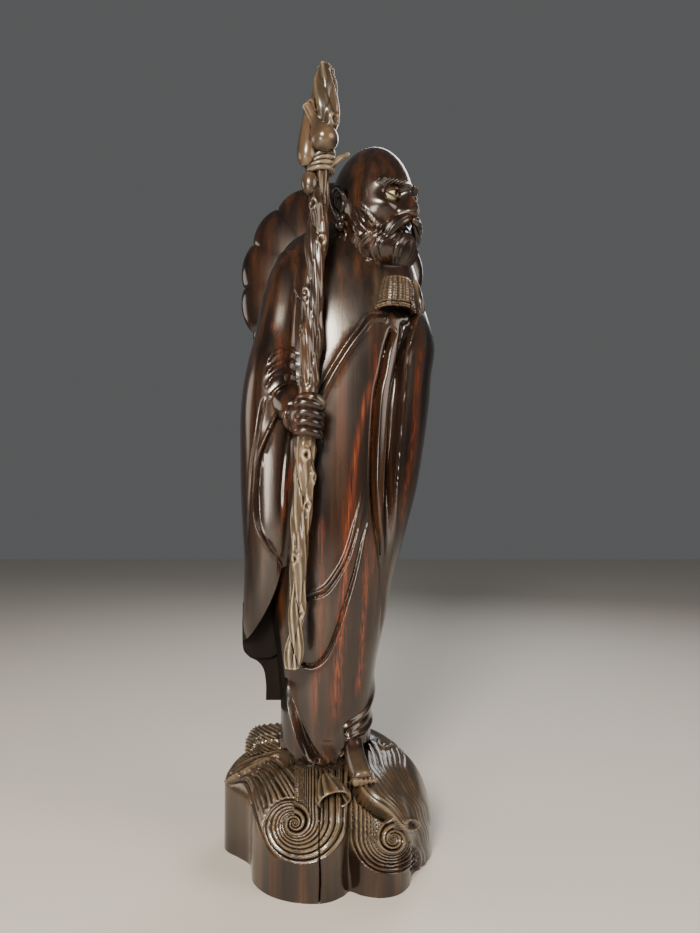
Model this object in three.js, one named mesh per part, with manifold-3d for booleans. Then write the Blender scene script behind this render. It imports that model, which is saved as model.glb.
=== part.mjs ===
import * as THREE from 'three';
import { mergeVertices } from 'three/addons/utils/BufferGeometryUtils.js';
import Module from 'manifold-3d';

const wasm = await Module();
wasm.setup();

// Carved monk holding a staff, standing on a wave-carved base that is left from the same log.
// Millimetres. +X is the viewer's right, -Y is the viewer's side, +Z is up.
// The origin is the middle of the underside.

const BASE_WALL_SHARE = 0.36;
const BASE_TOP_INNER_RADIUS = 30;
const HEAD_CENTRE = new THREE.Vector3(43, -14, 562);
const HEAD_HALF_WIDTH = 33;
const HEAD_HALF_DEPTH = 39;
const HEAD_HALF_HEIGHT = 51;
const HEAD_YAW = THREE.MathUtils.degToRad(48);
const FIST_CENTRE = new THREE.Vector3(-11.5, -72, 371);
const STAFF_RADIUS = 8;
const STAFF_FOOT = new THREE.Vector3(-21.6, -72, 172);
const STAFF_TOP = new THREE.Vector3(3.2, -72, 660);
const STAFF_CLEARANCE = 0.35;
const HAT_CENTRE = new THREE.Vector3(6, 36, 506);
const HAT_HALF_WIDTH = 88;
const HAT_HALF_HEIGHT = 103;
const HAT_DEPTH = 37;
const HAT_LOBES = 14;
const CLASP_CENTRE = new THREE.Vector3(66, -44, 480);
const CLASP_TOP_RADIUS = 11;
const CLASP_RIM_RADIUS = 17;
const CLASP_HEIGHT = 27;

// The viewer's eye: lines on the wave front are given as it sees them on a plane at the base's front.
const EYE = new THREE.Vector3(23, -650, 306);
const FRONT_PLANE = -80;
// Volutes that the waves roll into: reach on the open side and how far one turn shrinks it.
const VOLUTE_LEFT = { x: -19.7, z: 56.2, reach: 41, shrink: 0.29, hand: 1, width: 2.2 };
const VOLUTE_RIGHT = { x: 56.7, z: 43.9, reach: 33, shrink: 0.38, hand: -1, width: 1.9 };

// Sections of the robed body: height, then left, right, front and back.
const ROBE_ROWS = [
  [56, -32, 34, -32, 34],
  [84, -38.5, 40, -38, 38],
  [100, -38, 41, -39.5, 40],
  [130, -38, 42.5, -42, 43],
  [163, -41, 46, -45, 46],
  [200, -46, 54, -48, 48],
  [243, -52, 62, -51, 49],
  [281, -56, 71, -53, 50],
  [316, -59, 80, -54, 50],
  [347, -61, 85.4, -55, 49],
  [388, -66, 91.4, -56, 48],
  [413, -67, 94, -56, 47],
  [440, -60.5, 98, -55, 46],
  [470, -55, 91, -52, 45],
  [496, -48.6, 84.5, -47, 43],
  [516, -43, 79, -42, 41],
  [534, -32, 68, -35, 37],
  [546, -12, 54, -28, 30],
];

// Sections of the hanging sleeve, in the same order.
const SLEEVE_ROWS = [
  [160, -58, -38, -18, 20],
  [178, -70.5, -33, -26, 25],
  [196, -70.5, -28, -40, 27],
  [219, -69, -22, -47, 28],
  [251, -68, -17, -52, 28],
  [278, -69.4, -14, -55, 28],
  [309, -71, -12, -57, 28],
  [345, -71.4, -11, -60, 27],
  [376, -71.4, -12, -62, 25],
  [398, -70, -18, -58, 22],
  [416, -64, -28, -46, 16],
];

// Radius of the log's foot by bearing in degrees, from the viewer's side towards the right.
const LOG_ROWS = [
  [-180, 84], [-150, 83], [-120, 87], [-102, 89], [-88, 86], [-76, 74], [-65, 68], [-55, 71],
  [-42, 80], [-25, 87], [-8, 89], [4, 87], [13, 80], [18, 75], [23, 84], [30, 93], [38, 97],
  [48, 94], [57, 87], [64, 87], [78, 89], [92, 90], [105, 92], [125, 87], [150, 83], [180, 84],
];

// Height of the plain wall, by the same bearing.
const WALL_ROWS = [
  [-180, 50], [-120, 55], [-95, 56], [-78, 50], [-60, 42], [-40, 36], [0, 36], [20, 36],
  [40, 30], [60, 24], [90, 24], [120, 40], [180, 50],
];

// Height of the wave tops near the robe, by the same bearing.
const WAVE_ROWS = [
  [-180, 92], [-140, 92], [-110, 84], [-85, 72], [-60, 76], [-30, 82], [0, 80], [25, 80],
  [45, 82], [70, 84], [100, 90], [140, 96], [180, 92],
];

// Carved lines of the wave front: radius, how far the bar's middle stands out, and places on the front plane.
const WAVE_LINES = [
  [3.2, 0.4, [[-72, 86.5], [-56, 95.4], [-41.5, 103], [-31, 110]]],
  [2.4, 0, [[-59.8, 89], [-54.2, 82], [-50, 68], [-46, 54], [-41, 42]]],
  [2.2, 0, [[-53, 93], [-46, 86], [-42.5, 76], [-41, 66]]],
  [2.2, 0, [[-41, 97], [-35.6, 89], [-30, 80], [-27, 75]]],
  [2.2, 0, [[-31.5, 100], [-24.6, 91.5], [-18.5, 82.5], [-14.5, 74]]],
  [2.2, 0, [[-24.6, 101], [-15.6, 90], [-10, 79], [-7.2, 68], [-8, 60]]],
  [8, -4, [[30, 82], [42, 73], [52, 66], [61, 58], [70, 44], [74, 32], [75, 20]]],
  [9, -5, [[44, 100], [54, 84], [63, 69], [70.5, 56], [76, 42]]],
];

const EBONY = new THREE.MeshStandardMaterial({ color: 0x2a1a14, roughness: 0.3, metalness: 0 });
const PALE_EBONY = new THREE.MeshStandardMaterial({ color: 0x4a3c30, roughness: 0.35, metalness: 0 });

function smoothRows(rows) {
  // A smooth curve through the rows; the first number of a row is its place along the curve.
  return (place) => {
    const last = rows.length - 1;
    const at = Math.min(Math.max(place, rows[0][0]), rows[last][0]);
    let k = 0;
    while (k < last - 1 && at > rows[k + 1][0]) k += 1;
    const here = rows[k];
    const next = rows[k + 1];
    const before = rows[Math.max(k - 1, 0)];
    const after = rows[Math.min(k + 2, last)];
    const span = next[0] - here[0];
    const t = (at - here[0]) / span;
    const t2 = t * t;
    const t3 = t2 * t;
    return here.slice(1).map((value, i) => {
      const j = i + 1;
      const slopeHere = ((next[j] - before[j]) / (next[0] - before[0])) * span;
      const slopeNext = ((after[j] - here[j]) / (after[0] - here[0])) * span;
      const startPart = (2 * t3 - 3 * t2 + 1) * value + (t3 - 2 * t2 + t) * slopeHere;
      const endPart = (3 * t2 - 2 * t3) * next[j] + (t3 - t2) * slopeNext;
      return startPart + endPart;
    });
  };
}

const robeSection = smoothRows(ROBE_ROWS);
const sleeveSection = smoothRows(SLEEVE_ROWS);
const logRadius = smoothRows(LOG_ROWS);
const wallHeight = smoothRows(WALL_ROWS);
const waveHeight = smoothRows(WAVE_ROWS);

function smoothStep(from, to, value) {
  const t = Math.min(Math.max((value - from) / (to - from), 0), 1);
  return t * t * (3 - 2 * t);
}

function toSolid(geometry) {
  // One closed manifold from a three.js geometry.
  const bare = new THREE.BufferGeometry();
  bare.setAttribute('position', geometry.attributes.position.clone());
  if (geometry.index) bare.setIndex(geometry.index.clone());
  const merged = mergeVertices(bare, 1e-3);
  const index = merged.index.array;
  const kept = [];
  for (let i = 0; i < index.length; i += 3) {
    const [a, b, c] = [index[i], index[i + 1], index[i + 2]];
    if (a !== b && b !== c && c !== a) kept.push(a, b, c);
  }
  const mesh = new wasm.Mesh({
    numProp: 3,
    vertProperties: Float32Array.from(merged.attributes.position.array),
    triVerts: Uint32Array.from(kept),
  });
  return new wasm.Manifold(mesh);
}

function outerShell(positions, triangles) {
  // The triangles of the shell with the most volume: sealed pockets and loose chips are left out.
  const leader = Array.from({ length: positions.length / 3 }, (_, i) => i);
  const find = (i) => {
    let at = i;
    while (leader[at] !== at) {
      leader[at] = leader[leader[at]];
      at = leader[at];
    }
    return at;
  };
  for (let i = 0; i < triangles.length; i += 3) {
    leader[find(triangles[i])] = find(triangles[i + 1]);
    leader[find(triangles[i + 1])] = find(triangles[i + 2]);
  }
  const corner = (k) => new THREE.Vector3().fromArray(positions, triangles[k] * 3);
  const volumes = new Map();
  for (let i = 0; i < triangles.length; i += 3) {
    const shell = find(triangles[i]);
    const part = corner(i).dot(corner(i + 1).cross(corner(i + 2)));
    volumes.set(shell, (volumes.get(shell) ?? 0) + part);
  }
  const largest = [...volumes.entries()].sort((a, b) => b[1] - a[1])[0][0];
  const kept = [];
  for (let i = 0; i < triangles.length; i += 3) {
    if (find(triangles[i]) === largest) kept.push(triangles[i], triangles[i + 1], triangles[i + 2]);
  }
  return kept;
}

function toGeometry(solid) {
  const mesh = solid.getMesh();
  const positions = Float32Array.from(mesh.vertProperties);
  const geometry = new THREE.BufferGeometry();
  geometry.setAttribute('position', new THREE.BufferAttribute(positions, 3));
  geometry.setIndex(outerShell(positions, mesh.triVerts));
  return geometry;
}

function displaced(geometry, place) {
  // Moves each vertex of a geometry to the point that place gives for it.
  const position = geometry.attributes.position;
  const from = new THREE.Vector3();
  for (let i = 0; i < position.count; i += 1) {
    from.fromBufferAttribute(position, i);
    const to = place(from);
    position.setXYZ(i, to.x, to.y, to.z);
  }
  return geometry;
}

function sectionPoint([left, right, front, back], bearing, fullness) {
  // A point on a rounded section; the bearing is 0 at the front and grows to the right.
  const power = 2 / fullness;
  const side = Math.sign(Math.sin(bearing)) * Math.abs(Math.sin(bearing)) ** power;
  const ahead = Math.sign(Math.cos(bearing)) * Math.abs(Math.cos(bearing)) ** power;
  const x = (left + right) / 2 + (side * (right - left)) / 2;
  const y = (front + back) / 2 - (ahead * (back - front)) / 2;
  return { x, y };
}

function loft(section, low, high, around, steps, fullness, relief) {
  // A closed solid through the rounded sections between two heights.
  const drum = new THREE.CylinderGeometry(1, 1, 1, around, steps);
  return displaced(drum, (p) => {
    const z = THREE.MathUtils.lerp(low, high, p.y + 0.5);
    const row = section(z);
    const reach = Math.min(1, Math.hypot(p.x, p.z));
    const bearing = Math.atan2(p.x, p.z);
    const rim = sectionPoint(row, bearing, fullness);
    const middle = { x: (row[0] + row[1]) / 2, y: (row[2] + row[3]) / 2 };
    const grow = 1 + (relief ? relief(bearing, z) : 0) / Math.hypot(rim.x - middle.x, rim.y - middle.y);
    const scale = reach * grow;
    return { x: middle.x + (rim.x - middle.x) * scale, y: middle.y + (rim.y - middle.y) * scale, z };
  });
}

function frontOf(row, x, fullness) {
  // How far forward the rounded section reaches at a given x.
  const half = (row[1] - row[0]) / 2;
  const u = Math.min(Math.abs((x - (row[0] + row[1]) / 2) / half), 0.999);
  return (row[2] + row[3]) / 2 - ((row[3] - row[2]) / 2) * (1 - u ** fullness) ** (1 / fullness);
}

function onRobe(x, z, lift = 0) {
  return new THREE.Vector3(x, frontOf(robeSection(z), x, 2.3) - lift, z);
}

function sweep(points, radius, sides = 5, steps = 12) {
  // A rounded bar along a smooth line through the points.
  const outline = new THREE.Shape();
  for (let i = 0; i < sides; i += 1) {
    const turn = (2 * Math.PI * i) / sides;
    const x = radius * Math.cos(turn);
    const y = radius * Math.sin(turn);
    if (i === 0) outline.moveTo(x, y);
    else outline.lineTo(x, y);
  }
  const line = new THREE.CatmullRomCurve3(points);
  return new THREE.ExtrudeGeometry(outline, { steps, bevelEnabled: false, extrudePath: line });
}

function ellipsoid(centre, halfX, halfY, halfZ, around = 12, high = 8) {
  const ball = new THREE.SphereGeometry(1, around, high);
  ball.rotateX(Math.PI / 2);
  ball.scale(halfX, halfY, halfZ);
  ball.translate(centre.x, centre.y, centre.z);
  return ball;
}

function vectors(points) {
  return points.map((point) => new THREE.Vector3(...point));
}

function joined(geometries) {
  return geometries.map(toSolid).reduce((whole, next) => whole.add(next));
}

function robeRelief(bearing, z) {
  // Broad folds: the cloak's fall on the right, the hem's tongue and plain back folds.
  const degrees = THREE.MathUtils.radToDeg(bearing);
  const cloak = 2.2 * smoothStep(24, 32, degrees) * smoothStep(170, 250, z) * (1 - smoothStep(440, 480, z));
  const upright = smoothStep(250, 330, z) * (1 - smoothStep(440, 480, z));
  const valley = -5 * Math.exp(-(((degrees - 27) / 6) ** 2)) * upright;
  const behind = smoothStep(100, 130, Math.abs(degrees));
  const backFolds = 1.8 * behind * Math.cos((degrees * 9 * Math.PI) / 180) * (1 - smoothStep(380, 460, z));
  return cloak + valley + backFolds;
}

function makeRobe() {
  const trunk = toSolid(loft(robeSection, 56, 546, 28, 16, 2.3, robeRelief));
  const neckRoot = toSolid(ellipsoid(new THREE.Vector3(32, -2, 532), 33, 30, 22, 10, 6));
  return trunk.add(neckRoot);
}

function makeSleeve() {
  // The right sleeve hangs from the forearm, open at its mouth and cut up in front to a cusp.
  const hanging = toSolid(loft(sleeveSection, 160, 416, 16, 8, 2.6));
  const elbow = toSolid(ellipsoid(new THREE.Vector3(-45, -22, 398), 27, 38, 26, 10, 8));
  const forearm = toSolid(sweep(vectors([[-44, -24, 396], [-30, -48, 388], [-17, -66, 375]]), 17, 8, 4));
  const hemGap = new THREE.Shape();
  hemGap.moveTo(-85, 178);
  hemGap.lineTo(-68, 184);
  hemGap.quadraticCurveTo(-45, 206, -34, 246);
  hemGap.lineTo(-8, 262);
  hemGap.lineTo(-8, 150);
  hemGap.lineTo(-85, 150);
  const gapBlock = new THREE.ExtrudeGeometry(hemGap, { depth: 60, bevelEnabled: false, curveSegments: 5 });
  gapBlock.rotateX(Math.PI / 2);
  gapBlock.translate(0, -16, 0);
  const mouth = new THREE.Shape();
  mouth.moveTo(-22, 388);
  mouth.quadraticCurveTo(-56, 366, -61, 318);
  mouth.quadraticCurveTo(-63, 276, -36, 248);
  mouth.lineTo(-14, 262);
  mouth.lineTo(-14, 388);
  const mouthBlock = new THREE.ExtrudeGeometry(mouth, { depth: 60, bevelEnabled: false, curveSegments: 5 });
  mouthBlock.rotateX(Math.PI / 2);
  mouthBlock.translate(0, -46, 0);
  const backPanel = new THREE.Shape();
  backPanel.moveTo(-70.5, 215);
  backPanel.lineTo(-70.5, 179);
  backPanel.quadraticCurveTo(-68, 168, -58, 164.5);
  backPanel.quadraticCurveTo(-50, 160, -50, 145);
  backPanel.lineTo(-50, 131);
  backPanel.lineTo(-30, 131);
  backPanel.lineTo(-30, 215);
  const panel = new THREE.ExtrudeGeometry(backPanel, { depth: 34, bevelEnabled: false, curveSegments: 4 });
  panel.rotateX(Math.PI / 2);
  panel.translate(0, 22, 0);
  const open = hanging.subtract(toSolid(gapBlock)).subtract(toSolid(mouthBlock));
  return open.add(elbow).add(forearm).add(toSolid(panel));
}

function makeEdges() {
  // Raised cloth edges that lie on the robe: the collar band, the cloak's edge and the pleats.
  const collar = [[59, 463], [48, 461], [38, 452], [28, 440], [16, 421], [6, 404], [-4, 388]];
  const cloakEdge = [[84, 478], [77, 452], [71, 425], [69, 400], [67, 365], [62, 315], [54, 262], [47, 180]];
  const pleat = [[68, 462], [60, 440], [54, 412], [49, 380], [46, 340], [45, 305], [47, 270]];
  const tongueLeft = [[-33, 152], [-28, 132], [-21, 114], [-12, 99], [-2, 88], [8, 84]];
  const tongueRight = [[40, 160], [38, 140], [31, 128], [20, 120], [19, 104], [10, 86]];
  const drapeHigh = [[-12, 222], [4, 226], [14, 240], [24, 262], [32, 290]];
  const drapeLow = [[-16, 172], [-4, 171], [8, 182], [18, 204], [29, 240], [37, 280]];
  const lines = [
    [collar, 2.4, 1], [cloakEdge, 3.2, 0.5], [pleat, 3.4, 0.5], [tongueLeft, 2, 0.2],
    [tongueRight, 2, 0.2], [drapeHigh, 1.8, 0.4], [drapeLow, 1.8, 0.4],
  ];
  return joined(lines.map(([line, radius, lift]) => {
    const points = line.map(([x, z]) => onRobe(x, z, lift));
    return sweep(points, radius, 4, points.length + 1);
  }));
}

function headPoint(p) {
  // A calm, even head: skull, brow, cheeks and a short beard that fills out the chin.
  const side = p.x;
  const ahead = p.y;
  const up = p.z;
  const facing = Math.max(-ahead, 0);
  const jaw = smoothStep(-0.05, -0.75, up);
  const widthNow = HEAD_HALF_WIDTH * (1 - 0.16 * jaw);
  const depthNow = ahead < 0 ? HEAD_HALF_DEPTH * (1 - 0.02 * jaw) : HEAD_HALF_DEPTH * (1 - 0.3 * jaw);
  const brow = 2.6 * Math.exp(-(((up - 0.16) / 0.09) ** 2)) * smoothStep(0.3, 0.8, facing);
  const aside = (Math.abs(side) - 0.36) / 0.16;
  const nearEye = Math.exp(-(((up - 0.02) / 0.11) ** 2) - aside ** 2);
  const sockets = 4.2 * nearEye * smoothStep(0.4, 0.8, facing);
  const chin = 5.5 * Math.exp(-(((up + 0.62) / 0.24) ** 2)) * smoothStep(0.25, 0.8, facing);
  const out = brow - sockets + chin;
  return { x: side * widthNow, y: ahead * depthNow - out, z: up * HEAD_HALF_HEIGHT };
}

function makeHead() {
  const skull = new THREE.SphereGeometry(1, 14, 10);
  skull.rotateX(Math.PI / 2);
  displaced(skull, headPoint);
  const nose = new THREE.ConeGeometry(8, 20, 8, 2);
  nose.rotateX(Math.PI / 2 + 1.15);
  nose.scale(0.8, 1, 1);
  nose.translate(0, -HEAD_HALF_DEPTH - 1, -7);
  const parts = [skull, nose];
  for (const side of [-1, 1]) {
    parts.push(ellipsoid(new THREE.Vector3(side * (HEAD_HALF_WIDTH - 0.5), 3, -2), 4, 7.5, 12, 8, 6));
    parts.push(ellipsoid(new THREE.Vector3(side * (HEAD_HALF_WIDTH - 1), 2, -16), 4.6, 4.6, 4.6, 6, 4));
    parts.push(ellipsoid(new THREE.Vector3(side * 12.5, -HEAD_HALF_DEPTH + 5.5, 10), 11, 4, 3, 6, 4));
    parts.push(ellipsoid(new THREE.Vector3(side * 12, -HEAD_HALF_DEPTH + 8.5, 1.5), 6, 4.5, 3.6, 6, 4));
  }
  return joined(parts).rotate([0, 0, THREE.MathUtils.radToDeg(HEAD_YAW)]).translate(HEAD_CENTRE.toArray());
}

function makeNeck() {
  const neck = new THREE.CylinderGeometry(24, 30, 60, 14, 2);
  neck.rotateX(Math.PI / 2);
  neck.translate(36, -6, 520);
  return toSolid(neck);
}

function makeHat() {
  // A hat slung on the back, its crown to the rear, with lobes that meet in sharp creases.
  const dome = new THREE.SphereGeometry(1, HAT_LOBES * 2, 5);
  return toSolid(displaced(dome, (p) => {
    const bearing = Math.atan2(p.x, p.z);
    const reach = Math.hypot(p.x, p.z);
    const lobe = Math.abs(Math.cos((bearing * HAT_LOBES) / 2));
    const scallop = 1 - 0.075 * reach * (1 - lobe ** 0.7);
    return {
      x: HAT_CENTRE.x + HAT_HALF_WIDTH * p.x * scallop,
      y: HAT_CENTRE.y + (p.y > 0 ? HAT_DEPTH : 20) * p.y * scallop,
      z: HAT_CENTRE.z + HAT_HALF_HEIGHT * p.z * scallop,
    };
  }));
}

function staffAxis(z) {
  return STAFF_FOOT.clone().lerp(STAFF_TOP, (z - STAFF_FOOT.z) / (STAFF_TOP.z - STAFF_FOOT.z));
}

function staffShape(extra) {
  // A straight stick with a slow twist of flutes and swellings, from its foot to its club-like top.
  const drum = new THREE.CylinderGeometry(1, 1, 1, 9, 22);
  return displaced(drum, (p) => {
    const t = p.y + 0.5;
    const z = THREE.MathUtils.lerp(STAFF_FOOT.z, STAFF_TOP.z + 8, t);
    const axis = staffAxis(z);
    const reach = Math.min(1, Math.hypot(p.x, p.z));
    const bearing = Math.atan2(p.x, p.z);
    const swell = 0.7 * Math.sin(z / 13) + 0.5 * Math.sin(z / 5.7 + 1);
    const flutes = 0.9 * Math.cos(3 * bearing + z / 16);
    const foot = 1.2 * smoothStep(200, 172, z);
    const club = 4.4 * Math.exp(-(((z - 636) / 22) ** 2)) - 1.6 * smoothStep(655, 668, z);
    const grip = smoothStep(346, 354, z) * (1 - smoothStep(388, 396, z));
    const radius = STAFF_RADIUS + (swell + club - foot + flutes) * (1 - grip) + extra;
    const spread = radius * reach;
    return { x: axis.x + spread * Math.sin(bearing), y: axis.y - spread * Math.cos(bearing), z };
  });
}

function makeGourd(height, belly, neckHeight, top) {
  // A bottle gourd turned about its own axis, standing on its belly.
  const outline = [
    [0, 0], [belly * 0.6, height * 0.03], [belly, height * 0.26], [belly * 0.72, height * 0.48],
    [belly * 0.42, neckHeight], [top, height * 0.78], [top * 0.6, height * 0.95], [0, height],
  ];
  return new THREE.LatheGeometry(outline.map(([x, y]) => new THREE.Vector2(x, y)), 8).rotateX(Math.PI / 2);
}

function makeStaff() {
  const parts = [staffShape(0)];
  const round = makeGourd(30, 10.5, 17, 4.2);
  round.rotateY(-0.45);
  round.translate(6, -80, 597);
  parts.push(round);
  const long = makeGourd(50, 8, 30, 4);
  long.rotateY(0.1);
  long.translate(-12, -77, 584);
  parts.push(long);
  for (const lift of [0, 4.5, 9]) {
    const wrap = new THREE.TorusGeometry(STAFF_RADIUS + 1.6, 2.2, 4, 9);
    wrap.rotateX(0.18);
    const axis = staffAxis(584 + lift);
    wrap.translate(axis.x, axis.y, axis.z);
    parts.push(wrap);
  }
  return joined(parts);
}

function makeFist() {
  // Back of the hand on the left, four fingers across the staff and the thumb on top.
  const { x: midX, y: midY, z: midZ } = FIST_CENTRE;
  const parts = [
    ellipsoid(new THREE.Vector3(midX - 9, midY + 4, midZ), 13, 15, 16, 8, 6),
    ellipsoid(new THREE.Vector3(midX, midY + 10, midZ - 1), 12, 9, 15, 8, 6),
  ];
  for (let finger = 0; finger < 4; finger += 1) {
    const z = midZ + 9 - finger * 7.2;
    const reach = STAFF_RADIUS + 3.4;
    const bend = [[-20, -2], [-11, -12.5], [0, -reach - 1.5], [9, -9], [13 - finger * 0.4, 0]];
    const line = bend.map(([x, y]) => new THREE.Vector3(midX + x, midY + y, z));
    parts.push(sweep(line, 3.9, 5, 5));
  }
  const thumb = [[-8, 6, 16], [2, -4, 17], [10, -8, 14], [15, -6, 9]];
  parts.push(sweep(thumb.map(([x, y, z]) => FIST_CENTRE.clone().add(new THREE.Vector3(x, y, z))), 4.2, 6, 4));
  return joined(parts);
}

function makeClasp() {
  // A woven bell that gathers the cloak at the left shoulder, hollow below.
  const bell = new THREE.CylinderGeometry(CLASP_TOP_RADIUS, CLASP_RIM_RADIUS, CLASP_HEIGHT, 14, 1);
  const hollow = new THREE.CylinderGeometry(CLASP_RIM_RADIUS - 6, CLASP_RIM_RADIUS - 3, 10, 12, 1);
  hollow.translate(0, -CLASP_HEIGHT / 2, 0);
  const rim = new THREE.TorusGeometry(CLASP_RIM_RADIUS, 1.8, 4, 14);
  rim.rotateX(Math.PI / 2);
  rim.translate(0, -CLASP_HEIGHT / 2 + 3, 0);
  const whole = toSolid(bell).add(toSolid(rim)).subtract(toSolid(hollow));
  return whole.rotate([90, 0, 0]).rotate([-6, 8, 0]).translate(CLASP_CENTRE.toArray());
}

function makeFoot() {
  // The left foot comes down from under the hem, with five toes.
  const parts = [
    ellipsoid(new THREE.Vector3(26, -38, 93), 8.5, 10, 15, 8, 6),
    ellipsoid(new THREE.Vector3(31, -49, 83), 8.5, 14, 8, 8, 6),
  ];
  for (let toe = 0; toe < 5; toe += 1) {
    const size = 2.9 - 0.25 * toe;
    const place = new THREE.Vector3(27.5 + toe * 3.6, -60 + toe * 1.4, 80);
    parts.push(ellipsoid(place, size, size * 1.7, size, 6, 4));
  }
  return joined(parts);
}

function makeHorn() {
  // A pleated spout below the hem, open at its end and a little flat.
  const cone = new THREE.CylinderGeometry(9, 13.4, 36, 20, 1);
  displaced(cone, (p) => {
    const pleat = 1 + 0.07 * Math.cos(10 * Math.atan2(p.x, p.z));
    return { x: p.x * pleat, y: p.y, z: p.z * pleat * 0.74 };
  });
  const bore = new THREE.CylinderGeometry(6, 11, 14, 12, 1);
  bore.scale(1, 1, 0.74);
  bore.translate(0, -12, 0);
  const whole = toSolid(cone).subtract(toSolid(bore));
  return whole.rotate([40, 0, 14]).translate([8.5, -56, 79]);
}

function basePoint(p) {
  // The wall stands plumb on the log's foot and rolls over into waves that climb to the robe.
  const bearing = Math.atan2(p.x, p.z);
  const degrees = THREE.MathUtils.radToDeg(bearing);
  const reach = Math.min(1, Math.hypot(p.x, p.z));
  const t = p.y + 0.5;
  const foot = logRadius(degrees)[0];
  const wall = wallHeight(degrees)[0];
  const top = waveHeight(degrees)[0];
  const share = BASE_WALL_SHARE;
  const turn = (Math.max((t - share) / (1 - share), 0) * Math.PI) / 2;
  const inner = BASE_TOP_INNER_RADIUS;
  const spread = t < share ? foot : inner + (foot - inner) * Math.cos(turn) ** 0.75;
  const z = t < share ? (t / share) * wall : wall + (top - wall) * Math.sin(turn) ** 1.1;
  return { x: reach * spread * Math.sin(bearing), y: -reach * spread * Math.cos(bearing), z };
}

function onWaves(x, z, lift) {
  // The place on the base that the eye sees at x and z of the front plane, moved out by lift.
  let best = null;
  let nearest = Infinity;
  for (let i = 0; i <= 70; i += 1) {
    for (let degrees = -100; degrees <= 100; degrees += 2) {
      const turn = THREE.MathUtils.degToRad(degrees);
      const p = basePoint(new THREE.Vector3(Math.sin(turn), i / 70 - 0.5, Math.cos(turn)));
      const near = (FRONT_PLANE - EYE.y) / (p.y - EYE.y);
      const away = Math.hypot(EYE.x + (p.x - EYE.x) * near - x, EYE.z + (p.z - EYE.z) * near - z);
      const score = Math.max(away, 2.5) + (p.y + 100) / 20;
      if (score < nearest) {
        nearest = score;
        best = new THREE.Vector3(p.x, p.y, p.z);
      }
    }
  }
  const out = new THREE.Vector3(best.x, best.y, best.z).normalize();
  return best.addScaledVector(out, lift);
}

function voluteRidge(volute) {
  // One line of the volute, rolling inwards as its reach shrinks.
  const points = [];
  for (let turn = -20; turn <= 520; turn += 36) {
    const reach = volute.reach * volute.shrink ** (turn / 360);
    const angle = THREE.MathUtils.degToRad(turn);
    const x = volute.x + volute.hand * reach * Math.cos(angle);
    points.push(onWaves(x, volute.z - reach * Math.sin(angle), 0));
  }
  return sweep(points, volute.width, 4, 20);
}

function makeBlock() {
  // A rough crest at the back left.
  const block = new THREE.SphereGeometry(1, 10, 6);
  return displaced(block, (p) => {
    const size = (Math.abs(p.x) ** 5 + Math.abs(p.y) ** 5 + Math.abs(p.z) ** 5) ** -0.2;
    return { x: -48 + 25 * size * p.x, y: 34 + 22 * size * p.y, z: 72 + 21 * size * p.z + 3 * p.x };
  });
}

function makeBase() {
  const drum = new THREE.CylinderGeometry(1, 1, 1, 42, 6);
  const volutes = [VOLUTE_LEFT, VOLUTE_RIGHT].map(voluteRidge);
  const parts = [displaced(drum, basePoint), makeBlock(), ...volutes];
  for (const [radius, lift, line] of WAVE_LINES) {
    const points = line.map(([x, z]) => onWaves(x, z, lift));
    parts.push(sweep(points, radius, radius > 5 ? 6 : 4, points.length));
  }
  const underside = new THREE.BoxGeometry(300, 300, 60).translate(0, 0, -30);
  return joined(parts).subtract(toSolid(underside));
}

function makeMonk() {
  let monk = makeBase();
  const figure = [makeRobe(), makeSleeve(), makeEdges(), makeNeck(), makeHead(), makeHat()];
  for (const piece of [...figure, makeFist(), makeClasp(), makeFoot(), makeHorn()]) {
    monk = monk.add(piece);
  }
  return monk.subtract(toSolid(staffShape(STAFF_CLEARANCE)));
}

function named(name, solid, material) {
  const geometry = toGeometry(solid);
  const mesh = new THREE.Mesh(geometry, material);
  mesh.name = name;
  return mesh;
}

const staff = makeStaff();
const monk = makeMonk();

const statue = new THREE.Group();
statue.add(named('monk_on_wave_base', monk, EBONY));
statue.add(named('staff_with_gourds', staff, PALE_EBONY));

export default statue;
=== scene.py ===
import math

import bmesh
import bpy
import numpy as np
from mathutils import Euler, Matrix, Vector


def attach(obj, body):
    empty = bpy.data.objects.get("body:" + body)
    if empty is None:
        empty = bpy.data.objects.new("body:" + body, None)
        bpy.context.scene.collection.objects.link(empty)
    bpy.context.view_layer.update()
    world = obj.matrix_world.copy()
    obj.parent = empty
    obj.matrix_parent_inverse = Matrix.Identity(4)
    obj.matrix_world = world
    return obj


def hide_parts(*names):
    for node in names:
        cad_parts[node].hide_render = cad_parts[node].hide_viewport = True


# Carved ebony monk on a wave base, with a gnarled staff. Sizes are in millimetres until a mesh is written.
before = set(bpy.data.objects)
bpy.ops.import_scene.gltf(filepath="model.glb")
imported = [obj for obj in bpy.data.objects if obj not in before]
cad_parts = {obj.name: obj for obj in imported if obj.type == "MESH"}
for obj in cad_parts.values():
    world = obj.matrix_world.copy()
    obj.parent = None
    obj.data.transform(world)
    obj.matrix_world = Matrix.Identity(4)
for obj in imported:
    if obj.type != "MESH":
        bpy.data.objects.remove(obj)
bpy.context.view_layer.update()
mm = 0.001
fine = 1.0


# Camera: a wide phone lens about 0.65 m away, tipped up a little
cameraValues = {"place": (23, -650, 306), "tipUp": 2.5, "lens": 28.0, "sensor": 36.0}


def makeCamera():
    data = bpy.data.cameras.new("camera")
    data.lens = cameraValues["lens"]
    data.sensor_width = cameraValues["sensor"]
    camera = bpy.data.objects.new("camera", data)
    camera.location = [v * mm for v in cameraValues["place"]]
    camera.rotation_euler = (math.radians(90 + cameraValues["tipUp"]), 0, 0)
    bpy.context.scene.collection.objects.link(camera)
    bpy.context.scene.camera = camera


# Small tools for numbers
def smoothStep(low, high, value):
    t = np.clip((value - low) / (high - low), 0, 1)
    return t * t * (3 - 2 * t)


def bell(value, middle, width):
    return np.exp(-(((value - middle) / width) ** 2))


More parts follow.
